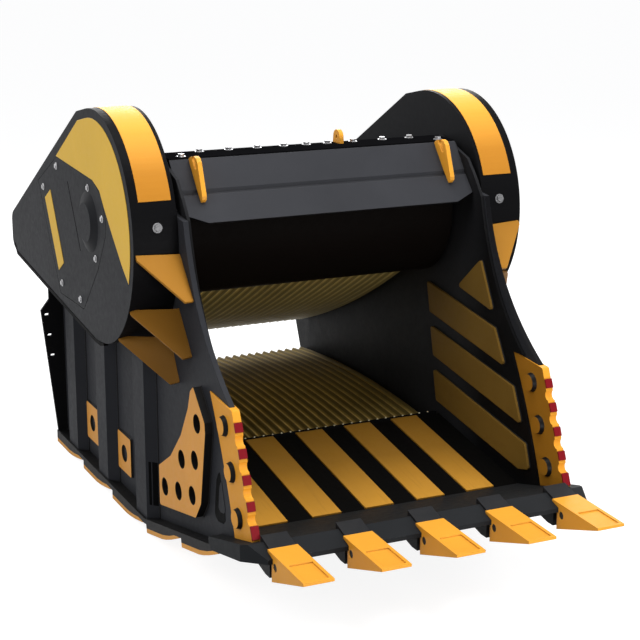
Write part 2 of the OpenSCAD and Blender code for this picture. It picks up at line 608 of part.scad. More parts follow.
// Hood over the moving jaw's head: two sloping panels with a groove between
hood_t = 12;
groove_w = 30;
hood_chamfer = 100;
chamfer_rise = 48;
hood_slope = atan2(hood_top[1] - hood_fold[1], hood_top[0] - hood_fold[0]);
hood_low_slope = atan2(hood_fold[1] - hood_foot[1], hood_fold[0] - hood_foot[0]);
hood_step = hood_t / cos(hood_slope);
hood_w = 2 * (in_x - seat);
module hood_upper_panel() color("#4a4b4f") {
    across(-hood_w / 2, hood_w / 2, [hood_top, hood_fold, hood_fold - [0, hood_step], hood_top - [0, hood_step]]);
    leaning(hood_fold, hood_low_slope) translate([-hood_w / 2, -2 * groove_w, -2 * hood_t - seat])
        cube([hood_w, 3 * groove_w, hood_t]);
}
module hood_lower_panel() color("#4a4b4f") leaning(hood_foot, hood_low_slope) translate([0, 0, -hood_t])
    linear_extrude(hood_t) let (l = norm(hood_fold - hood_foot) - groove_w, w = hood_w / 2 - seam)
        polygon([[-w, l], [-w, chamfer_rise], [-w + hood_chamfer, 0], [w - hood_chamfer, 0], [w, chamfer_rise], [w, l]]);

// Lifting lugs: two tapered ones on the hood and a short one on the top plate
lug_x = 644;
lug_t = 22;
lug_l = 235;
lug_r = 13;
lug_slot = 44;
lug_shares = [[0, 0], [-0.04, 0.16], [-0.12, 0.3], [-0.21, 0.37], [-0.31, 0.38], [-0.95, 0.17], [-1, 0.12], [-1, 0]];
lug_hole_share = [-0.22, 0.22];
eye_x = 180;
eye_l = 80;
eye_h = 66;
eye_hole_r = 9;
eye_y = hood_top[0] + 0.76 * plate_len;
module lug(points, hole, slot, r) rotate([90, 0, 90]) linear_extrude(lug_t, center = true) difference() {
    polygon(points);
    for (s = [-1, 1]) translate(hole + s * slot / 2) circle(r = r);
    if (norm(slot) > 0) polygon([hole - slot / 2 + [0, r], hole + slot / 2 + [0, r],
        hole + slot / 2 - [0, r], hole - slot / 2 - [0, r]]);
}
module lifting_lugs() color("#e8a030") {
    for (x = [-lug_x, lug_x]) translate([x, 0, 0]) difference() {
        leaning(hood_top, hood_slope) lug(rounded(lug_shares * lug_l, plate_r / 3),
            lug_hole_share * lug_l, [lug_slot, 0], lug_r);
        leaning(hood_foot, hood_low_slope) translate([-lug_t, 0, -lug_l])
            cube([2 * lug_t, norm(hood_fold - hood_foot), lug_l + seat]);
    }
    translate([eye_x, eye_y, wall_top])
        lug(concat([[-eye_l / 2, 0], [eye_l / 2, 0]], arc([0, eye_h - 0.45 * eye_l], 0.45 * eye_l, 0, 180, 12)),
            [0, eye_h - 0.45 * eye_l], [0, 0], eye_hole_r);
}

// Top plate behind the hood, and its bolts
top_t = 25;
top_bolt_shares = [-0.545, -0.397, -0.249, -0.111, 0.01, 0.122, 0.26, 0.422, 0.573];
top_bolt_r = 16;
top_bolt_h = 15;
module top_plate() color("#1d1e21") across(-hood_w / 2, hood_w / 2, [[hood_top[0] + seat, wall_top - top_t],
    [plate_end, wall_top - top_t], [plate_end, wall_top], [hood_top[0] + seat, wall_top]]);
module top_bolt(x, y) translate([x, y, wall_top]) {
    cylinder(h = top_bolt_h / 4, r = 1.35 * top_bolt_r);
    cylinder(h = top_bolt_h, r = top_bolt_r, $fn = 6);
}
module top_bolts() color("silver") {
    for (s = top_bolt_shares) top_bolt(s * side_unit, hood_top[0] + 0.78 * plate_len);
    both_sides() top_bolt(lug_x + 2 * top_bolt_r, hood_top[0] + 0.2 * plate_len);
}
// Bolts under the hood's lower edge
hood_bolt_spacing = 255;
hood_bolt_r = 17;
hood_bolt_l = 34;
module hood_bolts() color("#1d1e21") for (k = [-2:2]) translate([k * hood_bolt_spacing, 0, 0])
    leaning(hood_foot, hood_low_slope) translate([0, 3 * hood_bolt_r, -hood_t - hood_bolt_l]) {
        cylinder(h = hood_bolt_l, r = hood_bolt_r / 2);
        cylinder(h = hood_bolt_l / 3, r = hood_bolt_r, $fn = 6);
    }

// Rear shroud: bent plate from the top plate down to the coupler plate
shroud_t = 16;
shroud_slope = atan2(shroud_mid[1] - wall_top, shroud_mid[0] - plate_end);
module rear_shroud() color("#2b2c2f") across(-wall_x + seat, wall_x - seat, [[plate_end + seat, wall_top],
    shroud_mid, shroud_end, shroud_end - [0, 1.3 * shroud_t], shroud_mid - [0.4 * shroud_t, 1.05 * shroud_t],
    [plate_end + seat, wall_top - 1.05 * shroud_t]]);

// Coupler plate: the excavator's bracket is bolted on it
deck_t = 60;
deck_hole_r = 19.5;
deck_rows = 420;
deck_cols = [180, 540];
deck_mid = (shroud_end[0] + body_back) / 2;
module coupler_plate() color("#2b2c2f") difference() {
    translate([-wall_x + seat, shroud_end[0] + seat, deck_z - deck_t])
        cube([2 * (wall_x - seat), body_back - shroud_end[0] - seat, deck_t]);
    both_sides() for (x = deck_cols, s = [-1, 1])
        translate([x, deck_mid + s * deck_rows / 2, deck_z - deck_t - cut]) cylinder(h = deck_t + 2 * cut, r = deck_hole_r);
}

// Rear beam that takes the toggle's thrust, hung from the coupler plate by webs
beam_z = 960;
beam_h = 150;
beam_d = 200;
beam_web_x = 470;
shelf_d = 116;
shelf_t = 20;
module toggle_beam() color("#1d1e21") difference() {
    union() {
        translate([-in_x + seat, body_back - beam_d, beam_z]) cube([2 * in_x - 2 * seat, beam_d, beam_h]);
        for (x = [-beam_web_x, 0, beam_web_x]) translate([x - wall_t / 2, body_back - beam_d, beam_z + beam_h])
            cube([wall_t, beam_d, deck_z - deck_t - beam_z - beam_h]);
        both_sides() translate([rod_x - shelf_d / 2, body_back - cut, beam_z + beam_h / 2])
            cube([shelf_d, shelf_d + cut, shelf_t]);
    }
    both_sides() translate([rod_x, body_back + shelf_d / 2, beam_z]) cylinder(h = beam_h, r = rod_r + throw + seam);
}

// Rear flanges with slots, outside the walls
flange_t = 16;
flange_w = 129;
flange_low_w = 55;
flange_h = 823;
slot_l = 25;
slot_d = 13;
slot_step = 120;
slot_lean_step = 12.5;
slot_edge = 33;
module rear_flanges() color("#141416") both_sides() translate([out_x, body_back, 0]) rotate([90, 0, 0])
    linear_extrude(flange_t) difference() {
        polygon([[0, shell_z(body_back)], [flange_low_w, shell_z(body_back)], [flange_w, flange_h - 3 * slot_l],
        [0.62 * flange_w, flange_h - slot_d], [0.62 * flange_w, flange_h + 3 * slot_l], [0, flange_h + 3 * slot_l]]);
        for (k = [0:2]) translate([flange_w - slot_edge - slot_lean_step * k, flange_h - 4 * slot_l - slot_step * k]) {
            square([slot_l - slot_d, slot_d], center = true);
            for (s = [-1, 1]) translate([s * (slot_l - slot_d) / 2, 0]) circle(d = slot_d);
        }
    }

// Cheeks that guide the crushed stone out behind the jaws
cheek_shares = [[1.5, 0.24], [1.6, 0.47], [1.6, 0.9]];
module discharge_cheeks() color("#232427") both_sides() across(in_x, wall_x, concat(
    [[body_back + seat, cheek_shares[0][1] * side_unit]], side(cheek_shares),
    [[body_back + seat, cheek_shares[2][1] * side_unit]]));

// Crowned jaw plates: arcs of large radius, ribbed along the flow of stone
jaw_w = mouth_w - 2 * jaw_side_gap;
jaw_rib_n = floor(jaw_w / rib_spacing);
rib_shares = [[0, 0], [0.16, 0.05], [0.34, 0.8], [0.5, 1], [0.66, 0.8], [0.84, 0.05]];
function chord_r(p, q) = (norm(q - p) * norm(q - p) / 4 + jaw_crown * jaw_crown) / (2 * jaw_crown);
function chord_half(p, q) = asin(norm(q - p) / 2 / chord_r(p, q));
function ribbed(r) = concat([[r - jaw_t, -jaw_w / 2], [r - rib_h, -jaw_w / 2]],
    [for (k = [0:jaw_rib_n - 1], s = rib_shares) [r - rib_h + rib_h * s[1], (k - jaw_rib_n / 2 + s[0]) * rib_spacing]],
    [[r - rib_h, jaw_w / 2], [r - jaw_t, jaw_w / 2]]);
// Sweeps a profile of radius and X along the arc from p to q, over more by an angle at each
// end; side is 1 for a crown to the left of the way from p to q, and -1 for the right
module crowned(p, q, side, more) {
    r = chord_r(p, q);
    w = (q - p) / norm(q - p);
    out = side * [-w[1], w[0]];
    c = (p + q) / 2 + out * (jaw_crown - r);
    half = chord_half(p, q) + more;
    translate([0, c[0], c[1]]) rotate([90, 0, 90]) rotate([0, 0, atan2(out[1], out[0]) - half])
        rotate_extrude(angle = 2 * half, $fn = 720) children();
}
fixed_p = [-fixed_front, fixed_z];
fixed_q = [fixed_back, fixed_z];
moving_p = [moving_front, moving_high];
moving_q = [moving_back, moving_low];
module fixed_jaw_plate() color("#6e6238") crowned(fixed_p, fixed_q, 1, 0) polygon(ribbed(chord_r(fixed_p, fixed_q)));
module moving_jaw_plate() color("#6e6238") crowned(moving_p, moving_q, -1, 0) polygon(ribbed(chord_r(moving_p, moving_q)));

// Bed of the fixed jaw: a crowned plate on webs that stand on the shell
bed_t = 30;
web_t = 30;
web_n = 7;
bed_w = 2 * (in_x - seat);
function bed_z(y) = let (r = chord_r(fixed_p, fixed_q), m = (fixed_back - fixed_front) / 2, s = r - jaw_t - seat)
    fixed_z + jaw_crown - r + sqrt(s * s - (y - m) * (y - m));
module fixed_jaw_bed() color("#1d1e21") {
    r = chord_r(fixed_p, fixed_q);
    crowned(fixed_p, fixed_q, 1, 0) translate([r - jaw_t - seat - bed_t, -bed_w / 2]) square([bed_t, bed_w]);
    y0 = -knee_front + cut;
    y1 = body_back - cut;
    for (k = [0:web_n - 1]) translate([(k - (web_n - 1) / 2) * (bed_w - web_t) / (web_n - 1) - web_t / 2, 0, 0])
        across(0, web_t, concat([[y0, shell_z(y0)]], [for (i = [0:16]) let (y = y0 + (y1 - y0) * i / 16)
            [y, bed_z(y) - bed_t / 2]], [[y1, shell_z(y1)]]));
    for (y = [y0, (y0 + y1) / 2, y1 - web_t])
        translate([-bed_w / 2, y, shell_z(y)]) cube([bed_w, web_t, bed_z(y) - bed_t / 2 - shell_z(y)]);
}

// Clamp bars that hold the fixed jaw plate at its two ends
clamp_d = 31;
module fixed_jaw_clamps() color("#3a3b3e") {
    h = chord_half(fixed_p, fixed_q);
    leaning(fixed_q, -h) translate([-bed_w / 2, seat, -jaw_t - bed_t]) cube([bed_w, clamp_d, jaw_t + bed_t - rib_h]);
    leaning(fixed_p, h) translate([-bed_w / 2, -seat - clamp_d, -jaw_t - bed_t]) cube([bed_w, clamp_d, jaw_t + bed_t - rib_h]);
}

// Pitman: the moving jaw's body, with its round head over the eccentric shaft
way = (moving_q - moving_p) / norm(moving_q - moving_p);
up = [-way[1], way[0]];
jaw_len = norm(moving_q - moving_p);
pit_w = jaw_w - jaw_side_gap / 1.5;
pocket_n = 5;
pocket_wall = 60;
pocket_shares = [0.3, 0.84];
head_angle = 5;
tail_block = 160;
jaw_slot_angle = 0.1;
head_gap = 6;
function on_jaw(s, h) = moving_p + way * s + up * h;
module pitman() color("#232427") difference() {
    union() {
        bar_x(-pit_w / 2, pit_w / 2, drum_r, cam);
        across(-pit_w / 2, pit_w / 2, [on_jaw(drum_r / 12, -jaw_crown), on_jaw(jaw_len, -jaw_crown),
            on_jaw(jaw_len, jaw_t + pit_tail), on_jaw(jaw_len - tail_block, jaw_t + pit_tail),
            cam + drum_r * [cos(head_angle), sin(head_angle)], cam]);
    }
    translate([0, cam[0], cam[1]]) rotate([shroud_slope, 0, 0])
        translate([-pit_w, -2 * drum_r, drum_flat]) cube([2 * pit_w, 4 * drum_r, drum_r]);
    translate([-pit_w, -2 * drum_r, wall_top - top_t - head_gap]) cube([2 * pit_w, 4 * drum_r, drum_r]);
    bar_x(-pit_w, pit_w, pitman_bore_r, cam);
    crowned(moving_p, moving_q, -1, jaw_slot_angle) translate([chord_r(moving_p, moving_q) - jaw_t - seat, -pit_w])
        square([2 * jaw_t + jaw_crown, 2 * pit_w]);
    for (k = [0:pocket_n - 1]) let (w = pit_w / pocket_n, a = jaw_len * pocket_shares[0], b = jaw_len * pocket_shares[1])
        translate([(k - pocket_n / 2) * w + web_t / 2, 0, 0]) across(0, w - web_t, [on_jaw(a, jaw_t + pocket_wall),
            on_jaw(b, jaw_t + pocket_wall), on_jaw(b, drum_r * 2), on_jaw(a, drum_r * 2)]);
    bar_x(-pit_w, pit_w, toggle_r + throw + toggle_play, toggle_low);
    both_sides() translate([rod_x, rod_y, rod_foot]) cylinder(h = pit_tail + jaw_t, r = rod_r + run_fit);
}
// Clamp bar bolted on the pitman's lower end, over the end of the jaw plate
module moving_jaw_clamps() color("#3a3b3e") across(-pit_w / 2, pit_w / 2, [on_jaw(jaw_len + seat, rib_h),
    on_jaw(jaw_len + clamp_d, 2 * rib_h), on_jaw(jaw_len + clamp_d, 2 * jaw_t), on_jaw(jaw_len + seat, 2 * jaw_t)]);

// Bearings in the pitman's head
ring_w = 150;
ring_x = 480;
pitman_bore_r = 190;
module pitman_bearings() color("silver") both_sides() difference() {
    bar_x(ring_x, ring_x + ring_w, pitman_bore_r, cam);
    bar_x(ring_x - cut, ring_x + ring_w + cut, cam_r + run_fit, cam);
}
// Frame bearings in their housings
housing_r = 190;
wheel_gap = 12;
frame_ring_r = 150;
housing_in = in_x - wheel_gap;
housing_out = out_x + housing_lip;
housing_flange = 18;
module bearing_housings() color("#3a3b3e") both_sides() difference() {
    union() {
        bar_x(housing_in, housing_out, housing_r, crank);
        bar_x(out_x + seat, out_x + housing_flange, housing_r + housing_lip, crank);
    }
    bar_x(housing_in - cut, housing_out + cut, frame_ring_r, crank);
}
module frame_bearings() color("silver") both_sides() difference() {
    bar_x(housing_in, housing_out, frame_ring_r, crank);
    bar_x(housing_in - cut, housing_out + cut, shaft_r + run_fit, crank);
}
wheel_x = housing_out + wheel_gap;
module eccentric_shaft() color("silver") {
    bar_x(-wheel_x - wheel_w - wheel_gap, wheel_x + wheel_w + wheel_gap, shaft_r, crank);
    bar_x(-ring_x - ring_w - wheel_gap, ring_x + ring_w + wheel_gap, cam_r, cam);
}

// Flywheels: rim, web with holes and hub; the left one is grooved for the belts
rim_t = 90;
hub_r = 170;
hub_fillet = 14;
wheel_hole_r = 52;
groove_n = 4;
groove_spacing = 24;
groove_d = 14;
belt_w = 15;
groove_slack = 2;
web_shares = [0.3, 0.7];
// Section of a V groove in a rim of radius r, at a height z
function groove(r, z) = [[r + cut, z - belt_w / 2 - 2 * groove_slack], [r - groove_d, z - belt_w / 2 - seat],
    [r - groove_d, z + belt_w / 2 + seat], [r + cut, z + belt_w / 2 + 2 * groove_slack]];
function groove_z(k) = wheel_w / 2 + (k - (groove_n - 1) / 2) * groove_spacing;
module flywheel(grooved) translate([wheel_x, crank[0], crank[1]]) rotate([0, 90, 0]) difference() {
    rotate_extrude($fn = 96) difference() {
        polygon([[shaft_r + seat / 3, 0], [hub_r, 0], [hub_r + hub_fillet, wheel_w * web_shares[0]],
            [wheel_r - rim_t - hub_fillet, wheel_w * web_shares[0]], [wheel_r - rim_t, 0], [wheel_r, 0],
            [wheel_r, wheel_w], [wheel_r - rim_t, wheel_w], [wheel_r - rim_t - hub_fillet, wheel_w * web_shares[1]],
            [hub_r + hub_fillet, wheel_w * web_shares[1]], [hub_r, wheel_w], [shaft_r + seat / 3, wheel_w]]);
        if (grooved) for (k = [0:groove_n - 1]) polygon(groove(wheel_r, groove_z(k)));
    }
    for (a = [30:60:330]) rotate([0, 0, a]) translate([(hub_r + wheel_r - rim_t) / 2, 0, -cut])
        cylinder(h = wheel_w + 2 * cut, r = wheel_hole_r);
}
module left_flywheel() color("#5b5d61") mirror([1, 0, 0]) flywheel(true);
module right_flywheel() color("#5b5d61") flywheel(false);

// Hydraulic motor inside the left wall; its shaft passes through into the casing
motor_at = crank + [tail_len - motor_back, motor_lift - tail_drop];
motor_l = 210;
motor_shaft_r = 28;
motor_cap_r = 70;
motor_spigot_r = 60;
module hydraulic_motor() color("#2d3a46") difference() {
    union() {
        bar_x(-out_x - housing_flange, -out_x - seat, motor_r + flange_in - seam, motor_at);
        bar_x(-out_x - seat - cut, -wall_x + cut, motor_spigot_r, motor_at);
        bar_x(-wall_x + seat, -wall_x + motor_l, motor_r, motor_at);
        bar_x(-wall_x + motor_l, -wall_x + 1.2 * motor_l, motor_cap_r, motor_at);
    }
    bar_x(-casing_x, -wall_x + motor_l / 2, motor_shaft_r + run_fit, motor_at);
}
module motor_pulley() color("#5b5d61") {
    bar_x(-wheel_x - wheel_w - cut, -wall_x + motor_l / 2 - cut, motor_shaft_r, motor_at);
    translate([-wheel_x - wheel_w, motor_at[0], motor_at[1]]) rotate([0, 90, 0]) rotate_extrude() difference() {
        translate([motor_shaft_r / 2, 0]) square([pulley_r - motor_shaft_r / 2, wheel_w]);
        for (k = [0:groove_n - 1]) polygon(groove(pulley_r, groove_z(k)));
    }
}
belt_t = 12;
belt_run = motor_at - crank;
belt_a = atan2(belt_run[1], belt_run[0]) + acos((wheel_r - pulley_r) / norm(belt_run));
belt_b = atan2(belt_run[1], belt_run[0]) - acos((wheel_r - pulley_r) / norm(belt_run)) + full_turn;
belt_n = [30, 10];
belt_step = [(belt_b - belt_a) / belt_n[0] / 2, (full_turn - belt_b + belt_a) / belt_n[1] / 2];
function belt_path(g) = concat(
    arc(crank, (wheel_r - groove_d + g) / cos(belt_step[0]), belt_a, belt_b, belt_n[0]),
    arc(motor_at, (pulley_r - groove_d + g) / cos(belt_step[1]), belt_b - full_turn, belt_a, belt_n[1]));
module drive_belts() color("#151515") for (k = [0:groove_n - 1])
    translate([-wheel_x - groove_z(k) - belt_w / 2, 0, 0]) difference() {
        across(0, belt_w, belt_path(seat + belt_t));
        across(-cut, belt_w + cut, belt_path(seat));
    }

// Toggle plate between the pitman's tail and the rear beam
toggle_r = 26;
toggle_t = 40;
toggle_play = 12;
toggle_cut = 60;
toggle_w = pit_w - 2 * toggle_cut;
toggle_low_share = 0.9;
seat_h = 45;
shim_t = 4;
shim_n = 3;
toggle_low = on_jaw(jaw_len * toggle_low_share, jaw_t + pit_tail) + [0, toggle_play];
toggle_high = [body_back - beam_d / 2 + toggle_r, beam_z - shim_n * shim_t - seat_h];
module toggle_plate() color("#3a3b3e") {
    d = (toggle_high - toggle_low) / norm(toggle_high - toggle_low);
    n = [-d[1], d[0]] * toggle_t / 2;
    bar_x(-toggle_w / 2, toggle_w / 2, toggle_r, toggle_low);
    bar_x(-toggle_w / 2, toggle_w / 2, toggle_r, toggle_high);
    across(-toggle_w / 2, toggle_w / 2, [toggle_low - n, toggle_high - n, toggle_high + n, toggle_low + n]);
}
// Seat block under the beam, with adjusting shims between
module toggle_seats() color("#5b5d61") difference() {
    translate([-toggle_w / 2, toggle_high[0] - 2 * toggle_r, beam_z - shim_n * shim_t - seat_h])
        cube([toggle_w, 4 * toggle_r, seat_h]);
    bar_x(-toggle_w, toggle_w, toggle_r + seat, toggle_high);
}
module adjusting_shims() color("silver") for (k = [0:shim_n - 1])
    translate([-toggle_w / 2, toggle_high[0] - 2 * toggle_r, beam_z - (k + 1) * shim_t])
        cube([toggle_w, 4 * toggle_r, shim_t - seat / 3]);

// Tension rods and springs that hold the toggle in its seats
rod_x = 300;
rod_r = 18;
rod_y = body_back + shelf_d / 2;
rod_foot = on_jaw(jaw_len - tail_block / 2, jaw_t + pit_tail / 2)[1];
shelf_z = beam_z + beam_h / 2 + shelf_t;
spring_h = 110;
spring_turns = 6;
coil_r = 46;
wire_r = 6;
washer_t = 14;
module tension_rods() color("silver") both_sides() translate([rod_x, rod_y, 0]) {
    translate([0, 0, rod_foot + seat]) cylinder(h = shelf_z + spring_h + 5 * washer_t - rod_foot - seat, r = rod_r);
    translate([0, 0, shelf_z + spring_h + seat]) cylinder(h = washer_t, r = coil_r + 2 * wire_r);
    translate([0, 0, shelf_z + spring_h + seat + washer_t]) cylinder(h = 2 * washer_t, r = 1.8 * rod_r, $fn = 6);
}
// A coil as one tube: rings of points along a helix, flat turns at both ends left out
ring_n = 8;
tube_n = 6;
coil_spacing = (spring_h - 2 * wire_r) / spring_turns;
coil_points = [for (i = [0:spring_turns * ring_n], j = [0:tube_n - 1])
    let (a = 360 * i / ring_n, b = 360 * j / tube_n, r = coil_r + wire_r * cos(b))
    [r * cos(a), r * sin(a), wire_r + coil_spacing * i / ring_n + wire_r * sin(b)]];
coil_last = spring_turns * ring_n * tube_n;
coil_faces = concat([[for (j = [0:tube_n - 1]) j]], [[for (j = [tube_n - 1:-1:0]) coil_last + j]],
    [for (i = [0:spring_turns * ring_n - 1], j = [0:tube_n - 1], h = [0, 1])
        let (a = i * tube_n + j, b = i * tube_n + (j + 1) % tube_n) h == 0 ? [a, a + tube_n, b] : [b, a + tube_n, b + tube_n]]);
echo(coil_gap = min([for (i = [0:tube_n * ring_n - 1]) norm(coil_points[i] - coil_points[i + tube_n * ring_n])]) - 2 * wire_r);
module tension_springs() color("#a8282e") both_sides()
    translate([rod_x, rod_y, shelf_z]) polyhedron(coil_points, coil_faces, convexity = 8);

// Hydraulic ports on the rear slope of the shroud
port_r = 28;
port_bore_r = 16;
port_h = 50;
port_x = 60;
port_slope = atan2(shroud_end[1] - shroud_mid[1], shroud_end[0] - shroud_mid[0]);
module hydraulic_ports() color("#8a8c90") leaning((shroud_mid + shroud_end) / 2, port_slope) both_sides()
    translate([port_x, 0, seat]) difference() {
        cylinder(h = port_h, r = port_r);
        translate([0, 0, port_h / 3]) cylinder(h = port_h, r = port_bore_r);
    }

place() left_side_wall();
place() right_side_wall();
place() left_wall_liner();
place() right_wall_liner();
place() wall_ribs();
place() bottom_shell();
place() bucket_floor();
place() cutting_lip();
place() floor_wear_bars();
place() wall_wear_plates();
place() tooth_adapters();
place() bucket_teeth();
place() tooth_pins();
place() left_side_cutter();
place() right_side_cutter();
place() cutter_edge_pads();
place() side_wear_plates();
place() anchor_plates();
place() wear_skids();
place() casing_guards();
place() left_casing();
place() right_casing();
place() rim_stripes();
place() casing_side_panels();
place() left_inspection_cover();
place() right_inspection_cover();
place() cover_bolts();
place() hood_upper_panel();
place() hood_lower_panel();
place() lifting_lugs();
place() top_plate();
place() top_bolts();
place() hood_bolts();
place() rear_shroud();
place() coupler_plate();
place() toggle_beam();
place() rear_flanges();
place() discharge_cheeks();
place() fixed_jaw_bed();
place() fixed_jaw_plate();
place() fixed_jaw_clamps();
place() pitman();
place() moving_jaw_plate();
place() moving_jaw_clamps();
place() pitman_bearings();
place() eccentric_shaft();
place() left_flywheel();
place() right_flywheel();
place() bearing_housings();
place() frame_bearings();
place() toggle_plate();
place() toggle_seats();
place() adjusting_shims();
place() tension_rods();
place() tension_springs();
place() hydraulic_motor();
place() motor_pulley();
place() drive_belts();
place() hydraulic_ports();
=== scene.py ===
# Looks of the jaw crusher bucket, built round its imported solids. All sizes are in metres.
import json
import math
import random

import bmesh
import bpy
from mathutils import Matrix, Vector


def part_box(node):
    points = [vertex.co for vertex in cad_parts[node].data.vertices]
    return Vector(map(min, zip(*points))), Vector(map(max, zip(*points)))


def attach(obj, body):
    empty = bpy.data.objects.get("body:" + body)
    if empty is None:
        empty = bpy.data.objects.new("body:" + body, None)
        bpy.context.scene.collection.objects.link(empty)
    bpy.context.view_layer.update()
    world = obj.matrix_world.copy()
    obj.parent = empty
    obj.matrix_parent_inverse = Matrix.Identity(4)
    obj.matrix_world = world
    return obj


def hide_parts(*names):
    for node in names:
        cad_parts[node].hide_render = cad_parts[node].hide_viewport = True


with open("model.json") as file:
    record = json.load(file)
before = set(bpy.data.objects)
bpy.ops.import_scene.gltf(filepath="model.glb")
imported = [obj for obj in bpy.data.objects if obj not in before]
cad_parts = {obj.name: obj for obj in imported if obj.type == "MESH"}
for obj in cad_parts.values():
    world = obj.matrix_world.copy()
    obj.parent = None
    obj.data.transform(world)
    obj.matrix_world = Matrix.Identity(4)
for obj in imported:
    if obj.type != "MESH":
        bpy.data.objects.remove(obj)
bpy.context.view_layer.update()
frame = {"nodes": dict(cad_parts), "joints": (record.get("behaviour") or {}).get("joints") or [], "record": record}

nodes = frame["nodes"]
scene = bpy.context.scene
scene.view_settings.view_transform = "Standard"

# Camera, at the photo's angle
LENS_MM, SENSOR_MM = 90.63, 36.0
CAMERA_PLACE = (-3.2179, -7.1448, 3.0040)
CAMERA_TILT, CAMERA_TURN = 75.574, -24.987

camera_data = bpy.data.cameras.new("camera")
camera_data.lens = LENS_MM
camera_data.sensor_width = SENSOR_MM
camera = bpy.data.objects.new("camera", camera_data)
camera.location = CAMERA_PLACE
camera.rotation_euler = (math.radians(CAMERA_TILT), 0.0, math.radians(CAMERA_TURN))
scene.collection.objects.link(camera)
scene.camera = camera

# Soft studio lights: name, place, the point they face, width and height, power in watts
LIGHTS = (
    ("key", (-7.4, -2.6, 6.4), (0.0, 0.0, 1.0), (4.0, 4.0), 265),
    ("front", (2.5, -8.0, 6.5), (0.0, -0.8, 0.8), (4.0, 3.0), 55),
    ("top", (0.3, -0.8, 7.5), (0.0, -0.4, 1.0), (5.0, 4.5), 420),
    ("back", (3.5, 7.5, 5.0), (0.0, 0.5, 1.0), (5.0, 3.5), 420),
    ("back_left", (-2.6, 8.0, 4.5), (0.0, 0.5, 1.0), (4.0, 3.0), 240),
    ("right", (7.5, -0.5, 4.5), (0.8, 0.3, 1.0), (4.0, 3.0), 260),
    ("mouth", (0.5, -5.6, 0.5), (0.0, 0.3, 1.35), (2.2, 0.6), 140),
)
for name, place, target, size, power in LIGHTS:
    data = bpy.data.lights.new(name, "AREA")
    data.shape = "RECTANGLE"
    data.size, data.size_y = size
    data.energy = power
    lamp = bpy.data.objects.new(name, data)
    lamp.location = place
    lamp.rotation_euler = (Vector(target) - Vector(place)).to_track_quat("-Z", "Y").to_euler()
    scene.collection.objects.link(lamp)

# Sockets of the colour mix node, by index, because their names repeat for each type of data
MIX_FACTOR, MIX_A, MIX_B, MIX_RESULT = 0, 6, 7, 2


class Graph:
    """Builds a node tree: makes nodes, sets their sockets and links them."""

    def __init__(self, tree):
        self.tree = tree
        self.tree.nodes.clear()

    def add(self, kind, settings=None, **inputs):
        node = self.tree.nodes.new(kind)
        for key, value in (settings or {}).items():
            setattr(node, key, value)
        for key, value in inputs.items():
            self.put(node, key.replace("_", " "), value)
        return node

    def put(self, node, key, value):
        """Links or sets one input, given by its name or its index."""
        if isinstance(value, bpy.types.NodeSocket):
            self.tree.links.new(value, node.inputs[key])
        else:
            node.inputs[key].default_value = value

    def math(self, operation, a, b=0.0):
        node = self.add("ShaderNodeMath", {"operation": operation})
        self.put(node, 0, a)
        self.put(node, 1, b)
        return node.outputs[0]

    def ramp(self, value, low, high, out_low=0.0, out_high=1.0):
        """Maps low to high onto out_low to out_high, held at both ends."""
        node = self.add("ShaderNodeMapRange", {"clamp": True}, Value=value, From_Min=low,
                        From_Max=high, To_Min=out_low, To_Max=out_high)
        return node.outputs[0]

    def mix(self, factor, a, b, blend="MIX"):
        node = self.add("ShaderNodeMix", {"data_type": "RGBA", "blend_type": blend})
        self.put(node, MIX_FACTOR, factor)
        for key, value in ((MIX_A, a), (MIX_B, b)):
            linked = isinstance(value, bpy.types.NodeSocket)
            self.put(node, key, value if linked else (*value, 1.0))
        return node.outputs[MIX_RESULT]

    def noise(self, place, scale, detail, rough=0.55, warp=0.0):
        node = self.add("ShaderNodeTexNoise", Vector=place, Scale=scale, Detail=detail,
                        Roughness=rough, Distortion=warp)
        return node.outputs["Fac"]

    def along(self, vector, axis):
        """One component of a vector."""
        return self.add("ShaderNodeSeparateXYZ", Vector=vector).outputs[axis]

    def facing(self, axis):
        """How far a face looks along an axis, from -1 to 1."""
        return self.along(self.add("ShaderNodeNewGeometry").outputs["Normal"], axis)

    def seen(self):
        """1 for what the camera sees, straight or by a glossy or clear surface, 0 for light."""
        path = self.add("ShaderNodeLightPath").outputs
        indirect = self.math("MAXIMUM", path["Is Glossy Ray"], path["Is Transmission Ray"])
        return self.math("MAXIMUM", path["Is Camera Ray"], indirect)


WORLD_LIGHT = 0.34
WORLD_COLOUR = (0.93, 0.95, 1.0, 1.0)
WHITE = (1.0, 1.0, 1.0, 1.0)

world = bpy.data.worlds.new("studio")
scene.world = world
world.use_nodes = True
g = Graph(world.node_tree)
plain = g.add("ShaderNodeBackground", Color=WORLD_COLOUR, Strength=WORLD_LIGHT)
white = g.add("ShaderNodeBackground", Color=WHITE, Strength=1.0)
both = g.add("ShaderNodeMixShader")
g.put(both, 0, g.seen())
g.put(both, 1, plain.outputs[0])
g.put(both, 2, white.outputs[0])
g.put(g.add("ShaderNodeOutputWorld"), "Surface", both.outputs[0])


def material(name):
    made = bpy.data.materials.new(name)
    made.use_nodes = True
    return made, Graph(made.node_tree)


# The noises of a coat: scale, detail, then roughness and warp where they are not the usual ones
TONE_NOISE = (1.6, 4.0, 0.6, 0.4)
FINE_NOISE = (34.0, 5.0, 0.65, 0.6)
PEEL_NOISE = (260.0, 2.0)
RUB_NOISE = (1.0, 5.0, 0.65, 0.3)
CAST_NOISE = (70.0, 4.0, 0.6)
DUST_NOISE = (5.0, 6.0, 0.7)
NOISE_SPAN = (0.3, 0.7)

